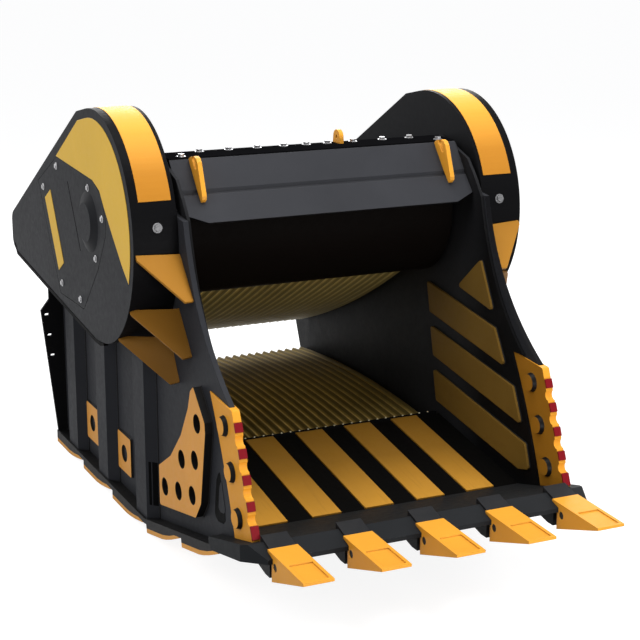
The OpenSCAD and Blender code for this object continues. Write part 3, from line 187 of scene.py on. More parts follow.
# How the parts of a coat work: spans are low and high ends of a ramp, and patches are all four
# of its values
TONE_LIFT = 0.5
SAMPLES = 4
EDGE_START, EDGE_FULL = 0.015, 0.16
# Painted shade and dirt in the corners: how far the ambient occlusion reaches, its ramp from open to closed, its
# patches and the roughness it adds
CORNER_REACH = 0.06
CORNER_OPEN, CORNER_CLOSED = 0.75, 0.15
CORNER_PATCHES = (0.25, 0.65, 0.5, 1.0)
CORNER_ROUGHNESS = 0.25
RUB_STRETCH = (60.0, 2.5, 9.0)
RUB_SPAN = (0.55, 0.72)
DUST_SPAN = (0.42, 0.75)
DUST_LEVEL = 0.55
DUST_ROUGHNESS = 0.3
DUST_COLOUR = (0.20, 0.18, 0.15)
SHINE_SPREAD = 0.12
CHIP_DEPTH = 0.25
BUMP_STRENGTH, BUMP_DEPTH = 0.35, 0.0012


def edge_mask(g, radius):
    """1 on edges within a radius, 0 on flats; also the rounded normal."""
    soft = g.add("ShaderNodeBevel", {"samples": SAMPLES}, Radius=radius).outputs[0]
    dot = g.add("ShaderNodeVectorMath", {"operation": "DOT_PRODUCT"})
    g.put(dot, 0, soft)
    g.put(dot, 1, g.add("ShaderNodeNewGeometry").outputs["Normal"])
    return g.ramp(dot.outputs["Value"], 1.0 - EDGE_START, 1.0 - EDGE_FULL), soft


def corner_dirt_and_shade(g, fine, grime_and_shade):
    """Painted shade and dirt in the corners, from the ambient occlusion, broken up by the fine noise."""
    recess = g.add("ShaderNodeAmbientOcclusion", {"samples": SAMPLES, "only_local": False},
                   Distance=CORNER_REACH)
    dirt_and_shade = g.math("MULTIPLY", g.ramp(recess.outputs["AO"], CORNER_OPEN, CORNER_CLOSED),
                  g.ramp(fine, *CORNER_PATCHES))
    return g.math("MULTIPLY", dirt_and_shade, grime_and_shade)


def dust_film(g, place, dust):
    """Dust that lies in patches on faces that look up."""
    film = g.math("MULTIPLY", g.ramp(g.facing("Z"), DUST_LEVEL, 1.0),
                  g.ramp(g.noise(place, *DUST_NOISE), *DUST_SPAN))
    return g.math("MULTIPLY", film, dust)


def coated(name, colour, rough, metal=0.0, tone=0.16, chip=(0.5, 0.62),
           chip_colour=(0.32, 0.31, 0.30), chip_metal=0.8, grime_and_shade=0.5,
           grime_and_shade_colour=(0.008, 0.0075, 0.007), dust=0.0, peel=0.05, cast=0.0, edge=0.004,
           other=None, specular=0.18, rub=0.0, rub_colour=None, lit=0.0, lit_colour=None):
    """Paint or bare metal, with a tone that varies slowly, chipped edges, and dirt with painted shade in the
    corners.

    other paints a pattern over the colour, lit paints a highlight on the edges, rub leaves
    streaks along the machine, dust lies on level faces, and cast and peel are the relief's grain.
    """
    made, g = material(name)
    place = g.add("ShaderNodeTexCoord").outputs["Object"]
    fine = g.noise(place, *FINE_NOISE)
    hue = g.ramp(g.noise(place, *TONE_NOISE), *NOISE_SPAN, 1.0 - tone, 1.0 + tone * TONE_LIFT)
    hue = g.add("ShaderNodeCombineColor", Red=hue, Green=hue, Blue=hue).outputs[0]
    tinted = g.mix(1.0, other(g, place, colour) if other else colour, hue, "MULTIPLY")
    edges, soft = edge_mask(g, edge)
    # Painted highlight: a lighter colour laid on the edges
    if lit > 0.0:
        tinted = g.mix(g.math("MULTIPLY", edges, lit), tinted, lit_colour)
    if rub > 0.0:
        streak = g.add("ShaderNodeMapping", Vector=place, Scale=RUB_STRETCH).outputs[0]
        worn = g.ramp(g.noise(streak, *RUB_NOISE), *RUB_SPAN, 0.0, rub)
        tinted = g.mix(worn, tinted, rub_colour)
    chips = g.math("MULTIPLY", edges, g.ramp(fine, *chip))
    # Painted shade: corners and recesses darkened from the ambient occlusion, broken into dirt patches
    dirt_and_shade = corner_dirt_and_shade(g, fine, grime_and_shade)
    tinted = g.mix(dirt_and_shade, g.mix(chips, tinted, chip_colour), grime_and_shade_colour)
    shine = g.ramp(fine, *NOISE_SPAN, rough - SHINE_SPREAD / 2, rough + SHINE_SPREAD / 2)
    shine = g.math("ADD", shine, g.math("MULTIPLY", dirt_and_shade, CORNER_ROUGHNESS))
    if dust > 0.0:
        film = dust_film(g, place, dust)
        tinted = g.mix(film, tinted, DUST_COLOUR)
        shine = g.math("ADD", shine, g.math("MULTIPLY", film, DUST_ROUGHNESS))
    height = g.math("MULTIPLY", g.noise(place, *PEEL_NOISE), peel)
    if cast > 0.0:
        grain = g.math("MULTIPLY", g.noise(place, *CAST_NOISE), cast)
        height = g.math("ADD", height, grain)
    height = g.math("SUBTRACT", height, g.math("MULTIPLY", chips, CHIP_DEPTH))
    bump = g.add("ShaderNodeBump", Strength=BUMP_STRENGTH, Distance=BUMP_DEPTH, Height=height,
                 Normal=soft)
    surface = g.add("ShaderNodeBsdfPrincipled", Base_Color=tinted, Roughness=shine,
                    Metallic=g.math("MAXIMUM", g.math("MULTIPLY", chips, chip_metal), metal),
                    Normal=bump.outputs[0], Specular_IOR_Level=specular)
    g.put(g.add("ShaderNodeOutputMaterial"), "Surface", surface.outputs[0])
    return made


# Patterns, each given to a coat as other; all take the graph, the place and the coat's colour

NEAR_BLACK = (0.0035, 0.0035, 0.004)
EDGE_BLACK = (0.006, 0.006, 0.007)
LIP_BLACK = (0.0055, 0.0040, 0.0020)
# Colours of the stripe's painted light: orange up the front, lemon at the crown
STRIPE_ORANGE = (0.78, 0.36, 0.045)
STRIPE_LEMON = (0.80, 0.42, 0.070)

# Spans of how far a face looks along an axis, over which a pattern sets in
RIM_SIDE = (0.80, 0.97)
BROAD_SIDE = (0.45, 0.60)
BOSS_SIDE = (0.45, 0.70)
CUTTER_INWARDS = (-0.5, -0.8)
FRONT_EDGE = (-0.25, -0.45)
UNDERSIDE = (-0.12, -0.30)
LEVEL_TOP = (0.955, 0.985)

# Spans of place: heights of the stripe's painted light and the guards' painted shadow, lengths of the liner's and
# floor's painted shade
STRIPE_ORANGE_Z, STRIPE_LEMON_Z = (1.84, 2.03), (2.00, 2.075)
LOWER_GUARDS_Z = (1.28, 1.24)
LINER_MOUTH_Y = (-0.30, -0.55)
FLOOR_REAR_Y = (-0.95, -0.45)

# Shares of the colour that duller or brighter places keep; the casing's and cutter's inner sides, the lower guards
# and the floor's rear keep less as painted shade
CASING_INNER, CUTTER_INNER = 0.45, 0.44
LOWER_GUARDS, FLOOR_REAR = 0.55, 0.50
RIB_VALLEY, RIB_TOP = 0.28, 1.5


def shade(colour, share):
    return tuple(share * c for c in colour)


def sideways(g, low, high):
    """1 on faces that look to the left or right, 0 on the others."""
    return g.ramp(g.math("ABSOLUTE", g.facing("X")), low, high)


def black_rim(g, place, colour):
    """A casing's outer side keeps the colour, its inner side is duller with painted shade, its rim near black."""
    inwards = g.math("LESS_THAN", g.math("MULTIPLY", g.facing("X"), g.along(place, "X")), 0.0)
    sides = g.mix(inwards, colour, shade(colour, CASING_INNER))
    return g.mix(sideways(g, *RIM_SIDE), NEAR_BLACK, sides)


def black_front(g, place, colour):
    """The cut front edge of the plate is near black."""
    return g.mix(g.ramp(g.facing("Y"), *FRONT_EDGE), colour, EDGE_BLACK)


def black_edges(g, place, colour):
    """The broad faces of a plate keep the colour; cut edges and hole walls are near black."""
    return g.mix(sideways(g, *BROAD_SIDE), NEAR_BLACK, colour)


def black_under(g, place, colour):
    """Painted shade: faces that look down are near black, as in the hood's groove."""
    return g.mix(g.ramp(g.facing("Z"), *UNDERSIDE), colour, NEAR_BLACK)


def level_black(g, place, colour):
    """The level top of the lip is worn black; its bevel and front keep the colour."""
    return g.mix(g.ramp(g.facing("Z"), *LEVEL_TOP), colour, LIP_BLACK)


def stripe_light_by_height(g, place, colour):
    """Painted light and shade by height: lemon at the crown of the casing, orange lower down the front, the darker
    base colour lowest.
    """
    z = g.along(place, "Z")
    upper = g.mix(g.ramp(z, *STRIPE_ORANGE_Z), colour, STRIPE_ORANGE)
    return g.mix(g.ramp(z, *STRIPE_LEMON_Z), upper, STRIPE_LEMON)


def lower_guards_shaded(g, place, colour):
    """Painted shadow from the upper guard and the casing: the two lower guards are duller."""
    low = g.ramp(g.along(place, "Z"), *LOWER_GUARDS_Z)
    return g.mix(low, colour, shade(colour, LOWER_GUARDS))


def liner_mouth_shaded(g, place, colour):
    """Painted shade: the liner is black around the wear plates at the mouth and grey behind them."""
    return g.mix(g.ramp(g.along(place, "Y"), *LINER_MOUTH_Y), colour, NEAR_BLACK)


def floor_rear_shaded(g, place, colour):
    """Painted shade: the floor's paint is duller towards the rear, which the hood shades."""
    rear = g.ramp(g.along(place, "Y"), *FLOOR_REAR_Y)
    return g.mix(rear, colour, shade(colour, FLOOR_REAR))


# The middle of a side cutter's plate, and how far from it its bosses begin
CUTTER_MID = 0.7775
CUTTER_HALF = 0.0187


def boss_sides(g, place, colour):
    """Painted shade: a cutter's bosses have near black sides, and its inner face is duller than the outer."""
    x = g.along(place, "X")
    off = g.math("ABSOLUTE", g.math("SUBTRACT", g.math("ABSOLUTE", x), CUTTER_MID))
    boss = g.math("GREATER_THAN", off, CUTTER_HALF)
    outwards = g.math("MULTIPLY", g.facing("X"), g.math("SIGN", x))
    faces = g.mix(g.ramp(outwards, *CUTTER_INWARDS), colour, shade(colour, CUTTER_INNER))
    round_side = g.math("SUBTRACT", 1.0, sideways(g, *BOSS_SIDE))
    return g.mix(g.math("MULTIPLY", boss, round_side), faces, NEAR_BLACK)


# The jaws' ribs, and the noise and patches of the wear on their tops
JAW_WIDTH = 1.47
RIB_SPACING = 0.049
RIB_START = JAW_WIDTH / 2 - (JAW_WIDTH % RIB_SPACING) / 2
RIB_SPAN = (0.30, 0.10)
RIB_NOISE = (9.0, 5.0, 0.6)
RIB_PATCHES = (0.2, 0.7, 0.6, 1.0)


def rib_tops(g, place, colour):
    """Worn, brighter steel on the tops of the jaw's ribs, dark in the valleys."""
    ribs = g.math("DIVIDE", g.math("ADD", g.along(place, "X"), RIB_START + RIB_SPACING),
                  RIB_SPACING)
    off = g.math("ABSOLUTE", g.math("SUBTRACT", g.math("FRACT", ribs), 0.5))
    patches = g.ramp(g.noise(place, *RIB_NOISE), *RIB_PATCHES)
    worn = g.math("MULTIPLY", g.ramp(off, *RIB_SPAN), patches)
    return g.mix(worn, shade(colour, RIB_VALLEY), shade(colour, RIB_TOP))


def grey(level):
    return (level, level, level)


# Settings that several coats share
WALL_COAT = {"chip": (0.62, 0.74), "chip_colour": grey(0.08), "dust": 0.04, "specular": 0.03}
YELLOW_CHIPS = {"chip": (0.60, 0.72), "chip_colour": (0.30, 0.15, 0.04), "chip_metal": 0.2}
JAW_STEEL = {"metal": 0.1, "tone": 0.14, "chip": (0.50, 0.66), "cast": 0.9, "edge": 0.003,
             "other": rib_tops}
BOLT_STEEL = {"tone": 0.10, "chip": (0.6, 0.8), "edge": 0.0015}

GREY = (0.0265, 0.0275, 0.0315)
YELLOW = (0.80, 0.345, 0.030)
looks = {
    "body_dark": coated("grey_paint", GREY, 0.50, **WALL_COAT),
    "right_wall": coated("right_wall_paint", GREY, 0.50, other=black_front, **WALL_COAT),
    "casing": coated("casing_paint", (0.0205, 0.0212, 0.0240), 0.50, chip=(0.62, 0.74),
                     chip_colour=grey(0.07), dust=0.03, specular=0.03, other=black_rim),
    "body_black": coated("black_paint", (0.005, 0.005, 0.0055), 0.50, chip=(0.62, 0.76),
                         chip_colour=grey(0.04), dust=0.03, specular=0.06),
    "deck": coated("deck_paint", (0.004, 0.004, 0.0045), 0.75, chip=(0.62, 0.76),
                   chip_colour=grey(0.03), specular=0.0),
    # Painted shade: the pitman's drum is darker than the black paint, for the shaded inside of the bucket
    "drum": coated("drum_shaded_paint", (0.0030, 0.0022, 0.0018), 0.60, chip=(0.62, 0.76),
                   chip_colour=grey(0.02), specular=0.02),
    "floor": coated("floor_steel", (0.0030, 0.0028, 0.0026), 0.62, chip=(0.62, 0.76),
                    chip_colour=grey(0.03), specular=0.02, cast=0.3,
                    rub=0.2, rub_colour=(0.009, 0.008, 0.007)),
    "liner": coated("liner_steel", (0.020, 0.0205, 0.0225), 0.55, chip=(0.58, 0.72),
                    chip_colour=grey(0.05), specular=0.05, cast=0.25, other=liner_mouth_shaded,
                    rub=0.15, rub_colour=(0.020, 0.019, 0.018)),
    "hood_grey": coated("hood_paint", (0.032, 0.033, 0.0375), 0.46, chip=(0.62, 0.74),
                        chip_colour=grey(0.09), dust=0.03, specular=0.05, other=black_under,
                        lit=0.5, lit_colour=(0.085, 0.085, 0.09)),
    "lip": coated("lip_steel", (0.020, 0.0215, 0.0235), 0.50, chip=(0.56, 0.70),
                  chip_colour=grey(0.10), grime_and_shade=0.3, cast=0.4, specular=0.02,
                  other=level_black),
    "black_steel": coated("black_steel", (0.017, 0.0175, 0.019), 0.50, chip=(0.56, 0.70),
                          chip_colour=grey(0.06), cast=0.6, dust=0.04, specular=0.06,
                          lit=0.4, lit_colour=(0.05, 0.05, 0.053)),
    "inlay": coated("inlay_black", (0.0020, 0.0020, 0.0022), 0.60, chip=(0.7, 0.8),
                    chip_colour=grey(0.02), specular=0.02),
    "weld": coated("painted_weld", (0.010, 0.010, 0.011), 0.50, chip=(0.6, 0.75),
                   chip_colour=grey(0.04), specular=0.08, cast=0.8),
    "yellow": coated("yellow_paint", YELLOW, 0.48, tone=0.06, grime_and_shade=0.55, dust=0.02,
                     grime_and_shade_colour=(0.06, 0.03, 0.006), lit=0.35,
                     lit_colour=(0.95, 0.52, 0.10), **YELLOW_CHIPS),
    "stripe": coated("stripe_paint", (0.50, 0.205, 0.0215), 0.48, tone=0.04, grime_and_shade=0.4,
                     grime_and_shade_colour=(0.06, 0.03, 0.006), specular=0.06, other=stripe_light_by_height,
                     **YELLOW_CHIPS),
    "cutter": coated("cutter_paint", YELLOW, 0.48, tone=0.06, grime_and_shade_colour=(0.04, 0.02, 0.005),
                     specular=0.10, other=boss_sides, **YELLOW_CHIPS),
    "guard": coated("guard_paint", (0.36, 0.158, 0.0165), 0.48, tone=0.08, grime_and_shade=0.6,
                    grime_and_shade_colour=(0.04, 0.02, 0.005), specular=0.08, other=lower_guards_shaded,
                    lit=0.5, lit_colour=(0.70, 0.32, 0.045), **YELLOW_CHIPS),
    "plates": coated("plate_paint", (0.76, 0.325, 0.032), 0.48, tone=0.06, chip=(0.60, 0.72),
                     chip_colour=(0.25, 0.13, 0.04), chip_metal=0.2, grime_and_shade=0.4,
                     grime_and_shade_colour=(0.03, 0.016, 0.004), other=black_edges),
    "ochre": coated("worn_yellow_paint", (0.60, 0.288, 0.035), 0.52, tone=0.10,
                    chip=(0.56, 0.70), chip_colour=(0.10, 0.07, 0.04), chip_metal=0.3,
                    grime_and_shade=0.6, grime_and_shade_colour=(0.03, 0.018, 0.006), dust=0.03, specular=0.08,
                    rub=0.35, rub_colour=(0.28, 0.13, 0.02), other=floor_rear_shaded),
    # Painted shade: the wall plates are a darker copy of the floor bars' worn yellow, for the shade on the inner
    # walls
    "wall_ochre": coated("wall_plate_shaded_paint", (0.165, 0.094, 0.0175), 0.52, tone=0.12,
                         chip=(0.56, 0.70), chip_colour=(0.08, 0.06, 0.03), chip_metal=0.3,
                         grime_and_shade=0.7, grime_and_shade_colour=(0.02, 0.012, 0.004), specular=0.06,
                         rub=0.35, rub_colour=(0.12, 0.06, 0.012), edge=0.006,
                         lit=0.5, lit_colour=(0.26, 0.13, 0.022)),
    "mustard": coated("mustard_paint", (0.83, 0.51, 0.062), 0.52, tone=0.05,
                      chip=(0.62, 0.74), chip_colour=(0.22, 0.15, 0.05), chip_metal=0.1,
                      grime_and_shade=0.4, grime_and_shade_colour=(0.05, 0.03, 0.01), specular=0.10),
    "red": coated("red_paint", (0.185, 0.0016, 0.007), 0.50, tone=0.08, chip=(0.66, 0.78),
                  chip_colour=(0.06, 0.02, 0.02), specular=0.12),
    "jaw": coated("manganese_steel", (0.58, 0.42, 0.125), 0.55, specular=0.08,
                  chip_colour=(0.40, 0.32, 0.15), **JAW_STEEL),
    # Painted light: the moving jaw's plate is a brighter copy of the jaw's steel, for the light the floor throws
    # onto its underside
    "jaw_upper": coated("manganese_steel_lit", (0.74, 0.59, 0.22), 0.50, grime_and_shade=0.4,
                        specular=0.12, chip_colour=(0.60, 0.48, 0.22), **JAW_STEEL),
    "machined": coated("machined_steel", (0.52, 0.52, 0.53), 0.28, metal=0.95, tone=0.06,
                       chip=(0.7, 0.9), grime_and_shade=0.6, peel=0.2),
    "bolt": coated("zinc_steel", (0.42, 0.42, 0.43), 0.34, metal=0.85, **BOLT_STEEL),
    "bolt_dull": coated("dull_steel", (0.17, 0.17, 0.175), 0.45, metal=0.6, specular=0.2,
                        **BOLT_STEEL),
    # Painted highlight: the bright domes behind the floor stand for the glints on the ends of the jaw's ribs
    "rib_end": coated("painted_rib_end_highlight", (0.80, 0.72, 0.50), 0.35, metal=0.3, grime_and_shade=0.1,
                      specular=0.3, **BOLT_STEEL),
    "wheel": coated("cast_iron", (0.10, 0.105, 0.115), 0.52, metal=0.3, cast=0.8, grime_and_shade=0.6),
    "motor": coated("motor_paint", (0.045, 0.062, 0.090), 0.34, tone=0.10, cast=0.3),
    "belt": coated("belt_rubber", grey(0.013), 0.66, tone=0.2, chip=(0.8, 0.9), grime_and_shade=0.2,
                   peel=0.5),
    "spring": coated("spring_paint", (0.30, 0.018, 0.018), 0.36, tone=0.10, edge=0.0015),
}

# CAD nodes whose look isn't simply that of their slot
NODE_LOOKS = {
    "casing": ("left_casing", "right_casing", "left_inspection_cover",
               "right_inspection_cover"),
    "liner": ("left_wall_liner", "right_wall_liner"),
    "right_wall": ("right_side_wall",),
    "body_dark": ("rear_shroud",),
    "black_steel": ("coupler_plate",),
    "deck": ("top_plate",),
    "drum": ("pitman",),
    "floor": ("bucket_floor",),
    "lip": ("cutting_lip",),
    "plates": ("side_wear_plates", "anchor_plates"),
    "ochre": ("floor_wear_bars",),
    "wall_ochre": ("wall_wear_plates",),
    "guard": ("casing_guards",),
    "stripe": ("rim_stripes",),
    "cutter": ("left_side_cutter", "right_side_cutter"),
    "yellow": ("lifting_lugs",),
    "jaw_upper": ("moving_jaw_plate",),
}
own_looks = {node: look for look, group in NODE_LOOKS.items() for node in group}
slots = {row["node"]: row["material_slot"] for row in frame["record"]["subparts"]}
for name, piece in nodes.items():
    piece.data.materials.clear()
    piece.data.materials.append(looks[own_looks.get(name, slots[name])])

# Fixed places: the shaft's axis, the planes of a wall's outer side, of its inner liner and of a
# casing's outer side, and the radius of a casing's drum
joints = {row["name"]: row for row in frame["joints"]}
CRANK_Y, CRANK_Z = joints["crank_spin"]["pos_m"][1:]
WALL_X = 0.790
LINER_X = 0.750
CASING_X = 1.005
CASING_R = 0.560
SIDES = (-1.0, 1.0)
X_AXIS, Z_AXIS = Vector((1.0, 0.0, 0.0)), Vector((0.0, 0.0, 1.0))


def side_point(y, z, x=0.0):
    """A point of the side view, given from the shaft's axis in shares of the casing's radius."""
    return Vector((x, CRANK_Y + y * CASING_R, CRANK_Z + z * CASING_R))


def new_piece(name, bm, look, body="frame", smooth=False, outward=False):
    """Makes a piece of a bmesh; outward turns every face to look out."""
    if outward:
        bmesh.ops.recalc_face_normals(bm, faces=bm.faces)
    mesh = bpy.data.meshes.new(name)
    bm.normal_update()
    bm.to_mesh(mesh)
    bm.free()
    mesh.materials.append(looks[look])
    for face in mesh.polygons:
        face.use_smooth = smooth
    made = bpy.data.objects.new(name, mesh)
    scene.collection.objects.link(made)
    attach(made, body)
    return made


def circle(count):
    """The angles of a full turn in equal steps."""
    return [2 * math.pi * k / count for k in range(count)]


def centre_of(points):
    return sum(points, Vector((0.0, 0.0, 0.0))) / len(points)


def rings(bm, loops, closed=False):
    """Joins loops of points of equal length into a skin, capped unless it closes on itself."""
    made = [[bm.verts.new(point) for point in loop] for loop in loops]
    pairs = list(zip(made, made[1:])) + ([(made[-1], made[0])] if closed else [])
    for one, two in pairs:
        for k in range(len(one)):
            bm.faces.new((one[k - 1], one[k], two[k], two[k - 1]))
    if not closed:
        bm.faces.new(list(reversed(made[0])))
        bm.faces.new(made[-1])


def turned(bm, place, axis, profile, sides, twist=0.0):
    """A turned form: profile is a list of (distance along the axis, radius)."""
    turn = Vector(axis).to_track_quat("Z", "Y").to_matrix()
    rings(bm, [[Vector(place) + turn @ Vector((r * math.cos(a + twist), r * math.sin(a + twist), h))
                for a in circle(sides)] for h, r in profile])


# A bolt: its washer as (height in metres, radius as a share), its hexagon all in shares of r
WASHER = ((-0.0005, 1.45), (0.0018, 1.45), (0.0026, 1.38))
WASHER_SIDES = 28
HEAD_FOOT, HEAD_FOOT_SHARE = 0.002, 0.99
HEAD = ((0.60, 1.0), (0.68, 0.93), (0.68, 0.62), (0.62, 0.56))
HEAD_SIDES = 6


def hex_bolt(bm, place, axis, r, turn):
    """A washer and a chamfered hexagon with a dimple."""
    turned(bm, place, axis, [(h, share * r) for h, share in WASHER], WASHER_SIDES)
    head = [(HEAD_FOOT, HEAD_FOOT_SHARE * r)] + [(h * r, share * r) for h, share in HEAD]
    turned(bm, place, axis, head, HEAD_SIDES, turn)


# Bolts of the covers, in shares of the casing's radius, and one in each casing's round front
COVER_BOLTS = ((1.15, 0.355), (1.615, 0.095), (0.189, 0.304), (-0.19, 0.098),
               (0.027, -0.284), (1.1, -0.72), (0.525, -0.75))
COVER_BOLT_R, COVER_BOLT_TURN = 0.0125, 0.35
RIM_BOLT_ANGLE = math.radians(171.5)
RIM_START, RIM_WIDTH = 0.020, 0.155
RIM_BOLT_X = WALL_X + RIM_START + RIM_WIDTH / 2
RIM_BOLT_R, RIM_BOLT_TURN = 0.016, 0.3

bm, rim_bm = bmesh.new(), bmesh.new()
for side in SIDES:
    for index, share in enumerate(COVER_BOLTS):
        hex_bolt(bm, side_point(*share, side * CASING_X), X_AXIS * side, COVER_BOLT_R,
                 COVER_BOLT_TURN * index)
    out_way = Vector((0.0, math.cos(RIM_BOLT_ANGLE), math.sin(RIM_BOLT_ANGLE)))
    hex_bolt(rim_bm, side_point(out_way.y, out_way.z, side * RIM_BOLT_X), out_way, RIM_BOLT_R,
             RIM_BOLT_TURN)
bolts = new_piece("cover_bolt_heads", bm, "bolt")
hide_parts("cover_bolts")
rim_bolts = new_piece("rim_bolt_heads", rim_bm, "bolt_dull")
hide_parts("cover_bolts")


def inlay(bm, corners, way, low, high, bevel):
    """A thin plate with the corners given, from low to high along its outward normal."""
    way = Vector(way).normalized()
    middle = centre_of(corners)
    inner = [c + (middle - c).normalized() * bevel for c in corners]
    turn = sum(((corners[k - 1] - middle).cross(c - middle) for k, c in enumerate(corners)),
               Vector((0.0, 0.0, 0.0)))
    if turn.dot(way) < 0:
        corners, inner = corners[::-1], inner[::-1]
    rings(bm, [[c + way * low for c in corners], [c + way * (high - bevel) for c in corners],
               [c + way * high for c in inner]])


# A slot with a bar in the front rib's sloping side, given by shares of the slope, and a
# leaf-shaped pocket in the wall ahead of the wear plate, both near black inlays that paint the
# shadow inside them, the pocket with its grey floor set off to one side; each inlay has low, high
# and bevel
RIB_FOOT = Vector((WALL_X, CRANK_Y - 0.207, 0.0))
RIB_SLOPE = Vector((0.050, 0.055, 0.0))
SLOT_SHARES = ((0.02, 0.50), (0.60, 0.78))
SLOT_LOW, SLOT_HIGH = 0.148, 0.372
SLOT_INLAY = (-0.002, 0.0016, 0.0008)
LEAF = ((-1.024, 0.592), (-1.004, 0.580), (-0.982, 0.542), (-0.968, 0.470), (-0.956, 0.380),
        (-0.966, 0.364), (-0.997, 0.352), (-1.060, 0.362), (-1.083, 0.385), (-1.080, 0.412),
        (-1.046, 0.510))
LEAF_INLAY = (-0.001, 0.0014, 0.0006)
LEAF_FLOOR_INLAY = (-0.001, 0.0019, 0.0005)
LEAF_FLOOR_SHARE = 0.62
LEAF_FLOOR_SHIFT = Vector((0.0, -0.026, 0.018))

pocket_shadow_bm, floors_bm = bmesh.new(), bmesh.new()
for side in SIDES:
    for near, far in SLOT_SHARES:
        corners = [RIB_FOOT + RIB_SLOPE * u + Z_AXIS * z for u, z in
                   ((near, SLOT_LOW), (far, SLOT_LOW), (far, SLOT_HIGH), (near, SLOT_HIGH))]
        corners = [Vector((side * c.x, c.y, c.z)) for c in corners]
        inlay(pocket_shadow_bm, corners, (side * RIB_SLOPE.y, -RIB_SLOPE.x, 0.0), *SLOT_INLAY)
    leaf = [Vector((side * WALL_X, CRANK_Y + y, z)) for y, z in LEAF]
    inlay(pocket_shadow_bm, leaf, X_AXIS * side, *LEAF_INLAY)
    middle = centre_of(leaf)
    floor_leaf = [middle + (c - middle) * LEAF_FLOOR_SHARE + LEAF_FLOOR_SHIFT for c in leaf]
    inlay(floors_bm, floor_leaf, X_AXIS * side, *LEAF_FLOOR_INLAY)
new_piece("wall_pocket_shadows", pocket_shadow_bm, "inlay")
new_piece("wall_pocket_floors", floors_bm, "body_dark")

# A black bar behind the floor, a painted shadow of the step down to the jaw, with a row of
# bright domes at the spacing of the jaw's ribs, painted highlights of the rib ends; its section is given from its
# front top edge
END_BAR_X = 0.735
END_BAR_GAP, END_BAR_RISE = 0.0003, 0.006
END_BAR_SECTION = ((0.0, -0.045), (0.012, -0.045), (0.012, -0.002), (0.010, 0.0), (0.001, 0.0),
                   (0.0, -0.001))
HIGHLIGHT_DOMES, DOME_SIDES, DOME_OFF = 29, 10, 0.006
DOME = ((-0.001, 0.0050), (0.0015, 0.0047), (0.0032, 0.0032), (0.0040, 0.0010))

bars_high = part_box("floor_wear_bars")[1]
bar_y, bar_top = bars_high[1] + END_BAR_GAP, bars_high[2] + END_BAR_RISE
bar_bm, dome_bm = bmesh.new(), bmesh.new()
rings(bar_bm, [[Vector((side * END_BAR_X, bar_y + y, bar_top + z)) for y, z in END_BAR_SECTION]
               for side in SIDES])
for k in range(HIGHLIGHT_DOMES):
    place = Vector(((k - HIGHLIGHT_DOMES // 2) * RIB_SPACING, bar_y + DOME_OFF, bar_top))
    turned(dome_bm, place, Z_AXIS, DOME, DOME_SIDES)
new_piece("floor_end_shadow_bar", bar_bm, "inlay", outward=True)
new_piece("rib_end_highlight_domes", dome_bm, "rib_end", smooth=True)

# Tension springs that stand on the beam's shelf, whose narrow upper turns work inside a cup on
# the rod's washer, so the rods can drop with the jaw
ROD_X, ROD_Y, SHELF_Z, WASHER_Z = 0.300, 1.5925, 1.0955, 1.2053
SPRING_TOP, SPRING_TURNS, TURN_STEPS = 1.1785, 5.5, 28
WIRE_R, WIRE_SIDES = 0.0053, 10
WIDE_R, NARROW_R = 0.0462, 0.0372
NECK_Z, NECK_LENGTH = 1.128, 0.022
CUP_IN, CUP_OUT, CUP_DROP, CUP_CHAMFER, CUP_SIDES = 0.0555, 0.0578, 0.030, 0.001, 40

coil_bm, cup_bm = bmesh.new(), bmesh.new()
for side in SIDES:
    centre = Vector((side * ROD_X, ROD_Y, 0.0))
    loops, count = [], int(SPRING_TURNS * TURN_STEPS)
    for k in range(count + 1):
        turn = 2 * math.pi * SPRING_TURNS * k / count
        z = SHELF_Z + WIRE_R + (SPRING_TOP - SHELF_Z - 2 * WIRE_R) * k / count
        share = min(1.0, max(0.0, (z - NECK_Z) / NECK_LENGTH))
        r = WIDE_R + (NARROW_R - WIDE_R) * share * share * (3 - 2 * share)
        out_way = Vector((math.cos(turn), math.sin(turn), 0.0))
        loops.append([centre + Z_AXIS * (z + WIRE_R * math.sin(a))
                      + out_way * (r + WIRE_R * math.cos(a)) for a in circle(WIRE_SIDES)])
    rings(coil_bm, loops)
    cup_foot = WASHER_Z - CUP_DROP
    profile = ((WASHER_Z, CUP_IN), (cup_foot + CUP_CHAMFER, CUP_IN),
               (cup_foot, CUP_IN + CUP_CHAMFER), (cup_foot, CUP_OUT), (WASHER_Z, CUP_OUT))
    rings(cup_bm, [[centre + Vector((r * math.cos(a), r * math.sin(a), z))
                    for a in circle(CUP_SIDES)] for z, r in profile], closed=True)
coils = new_piece("tension_coils", coil_bm, "spring", smooth=True, outward=True)
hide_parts("tension_springs")
new_piece("spring_cups", cup_bm, "machined", body="jaw", outward=True)

# Black flange along the lower edge of each casing's outer side, narrower at both ends
FLANGE_LINE = ((2.78, -0.66), (2.70, -0.735), (1.45, -0.873), (0.105, -1.016), (-0.02, -1.014),
               (-0.13, -1.0))
FLANGE_WIDTH, FLANGE_END_SHARE = 0.016, 0.55
FLANGE_SUNK, FLANGE_PROUD = 0.020, 0.0022
FLANGE_LAP, FLANGE_CHAMFER = 0.004, 0.002

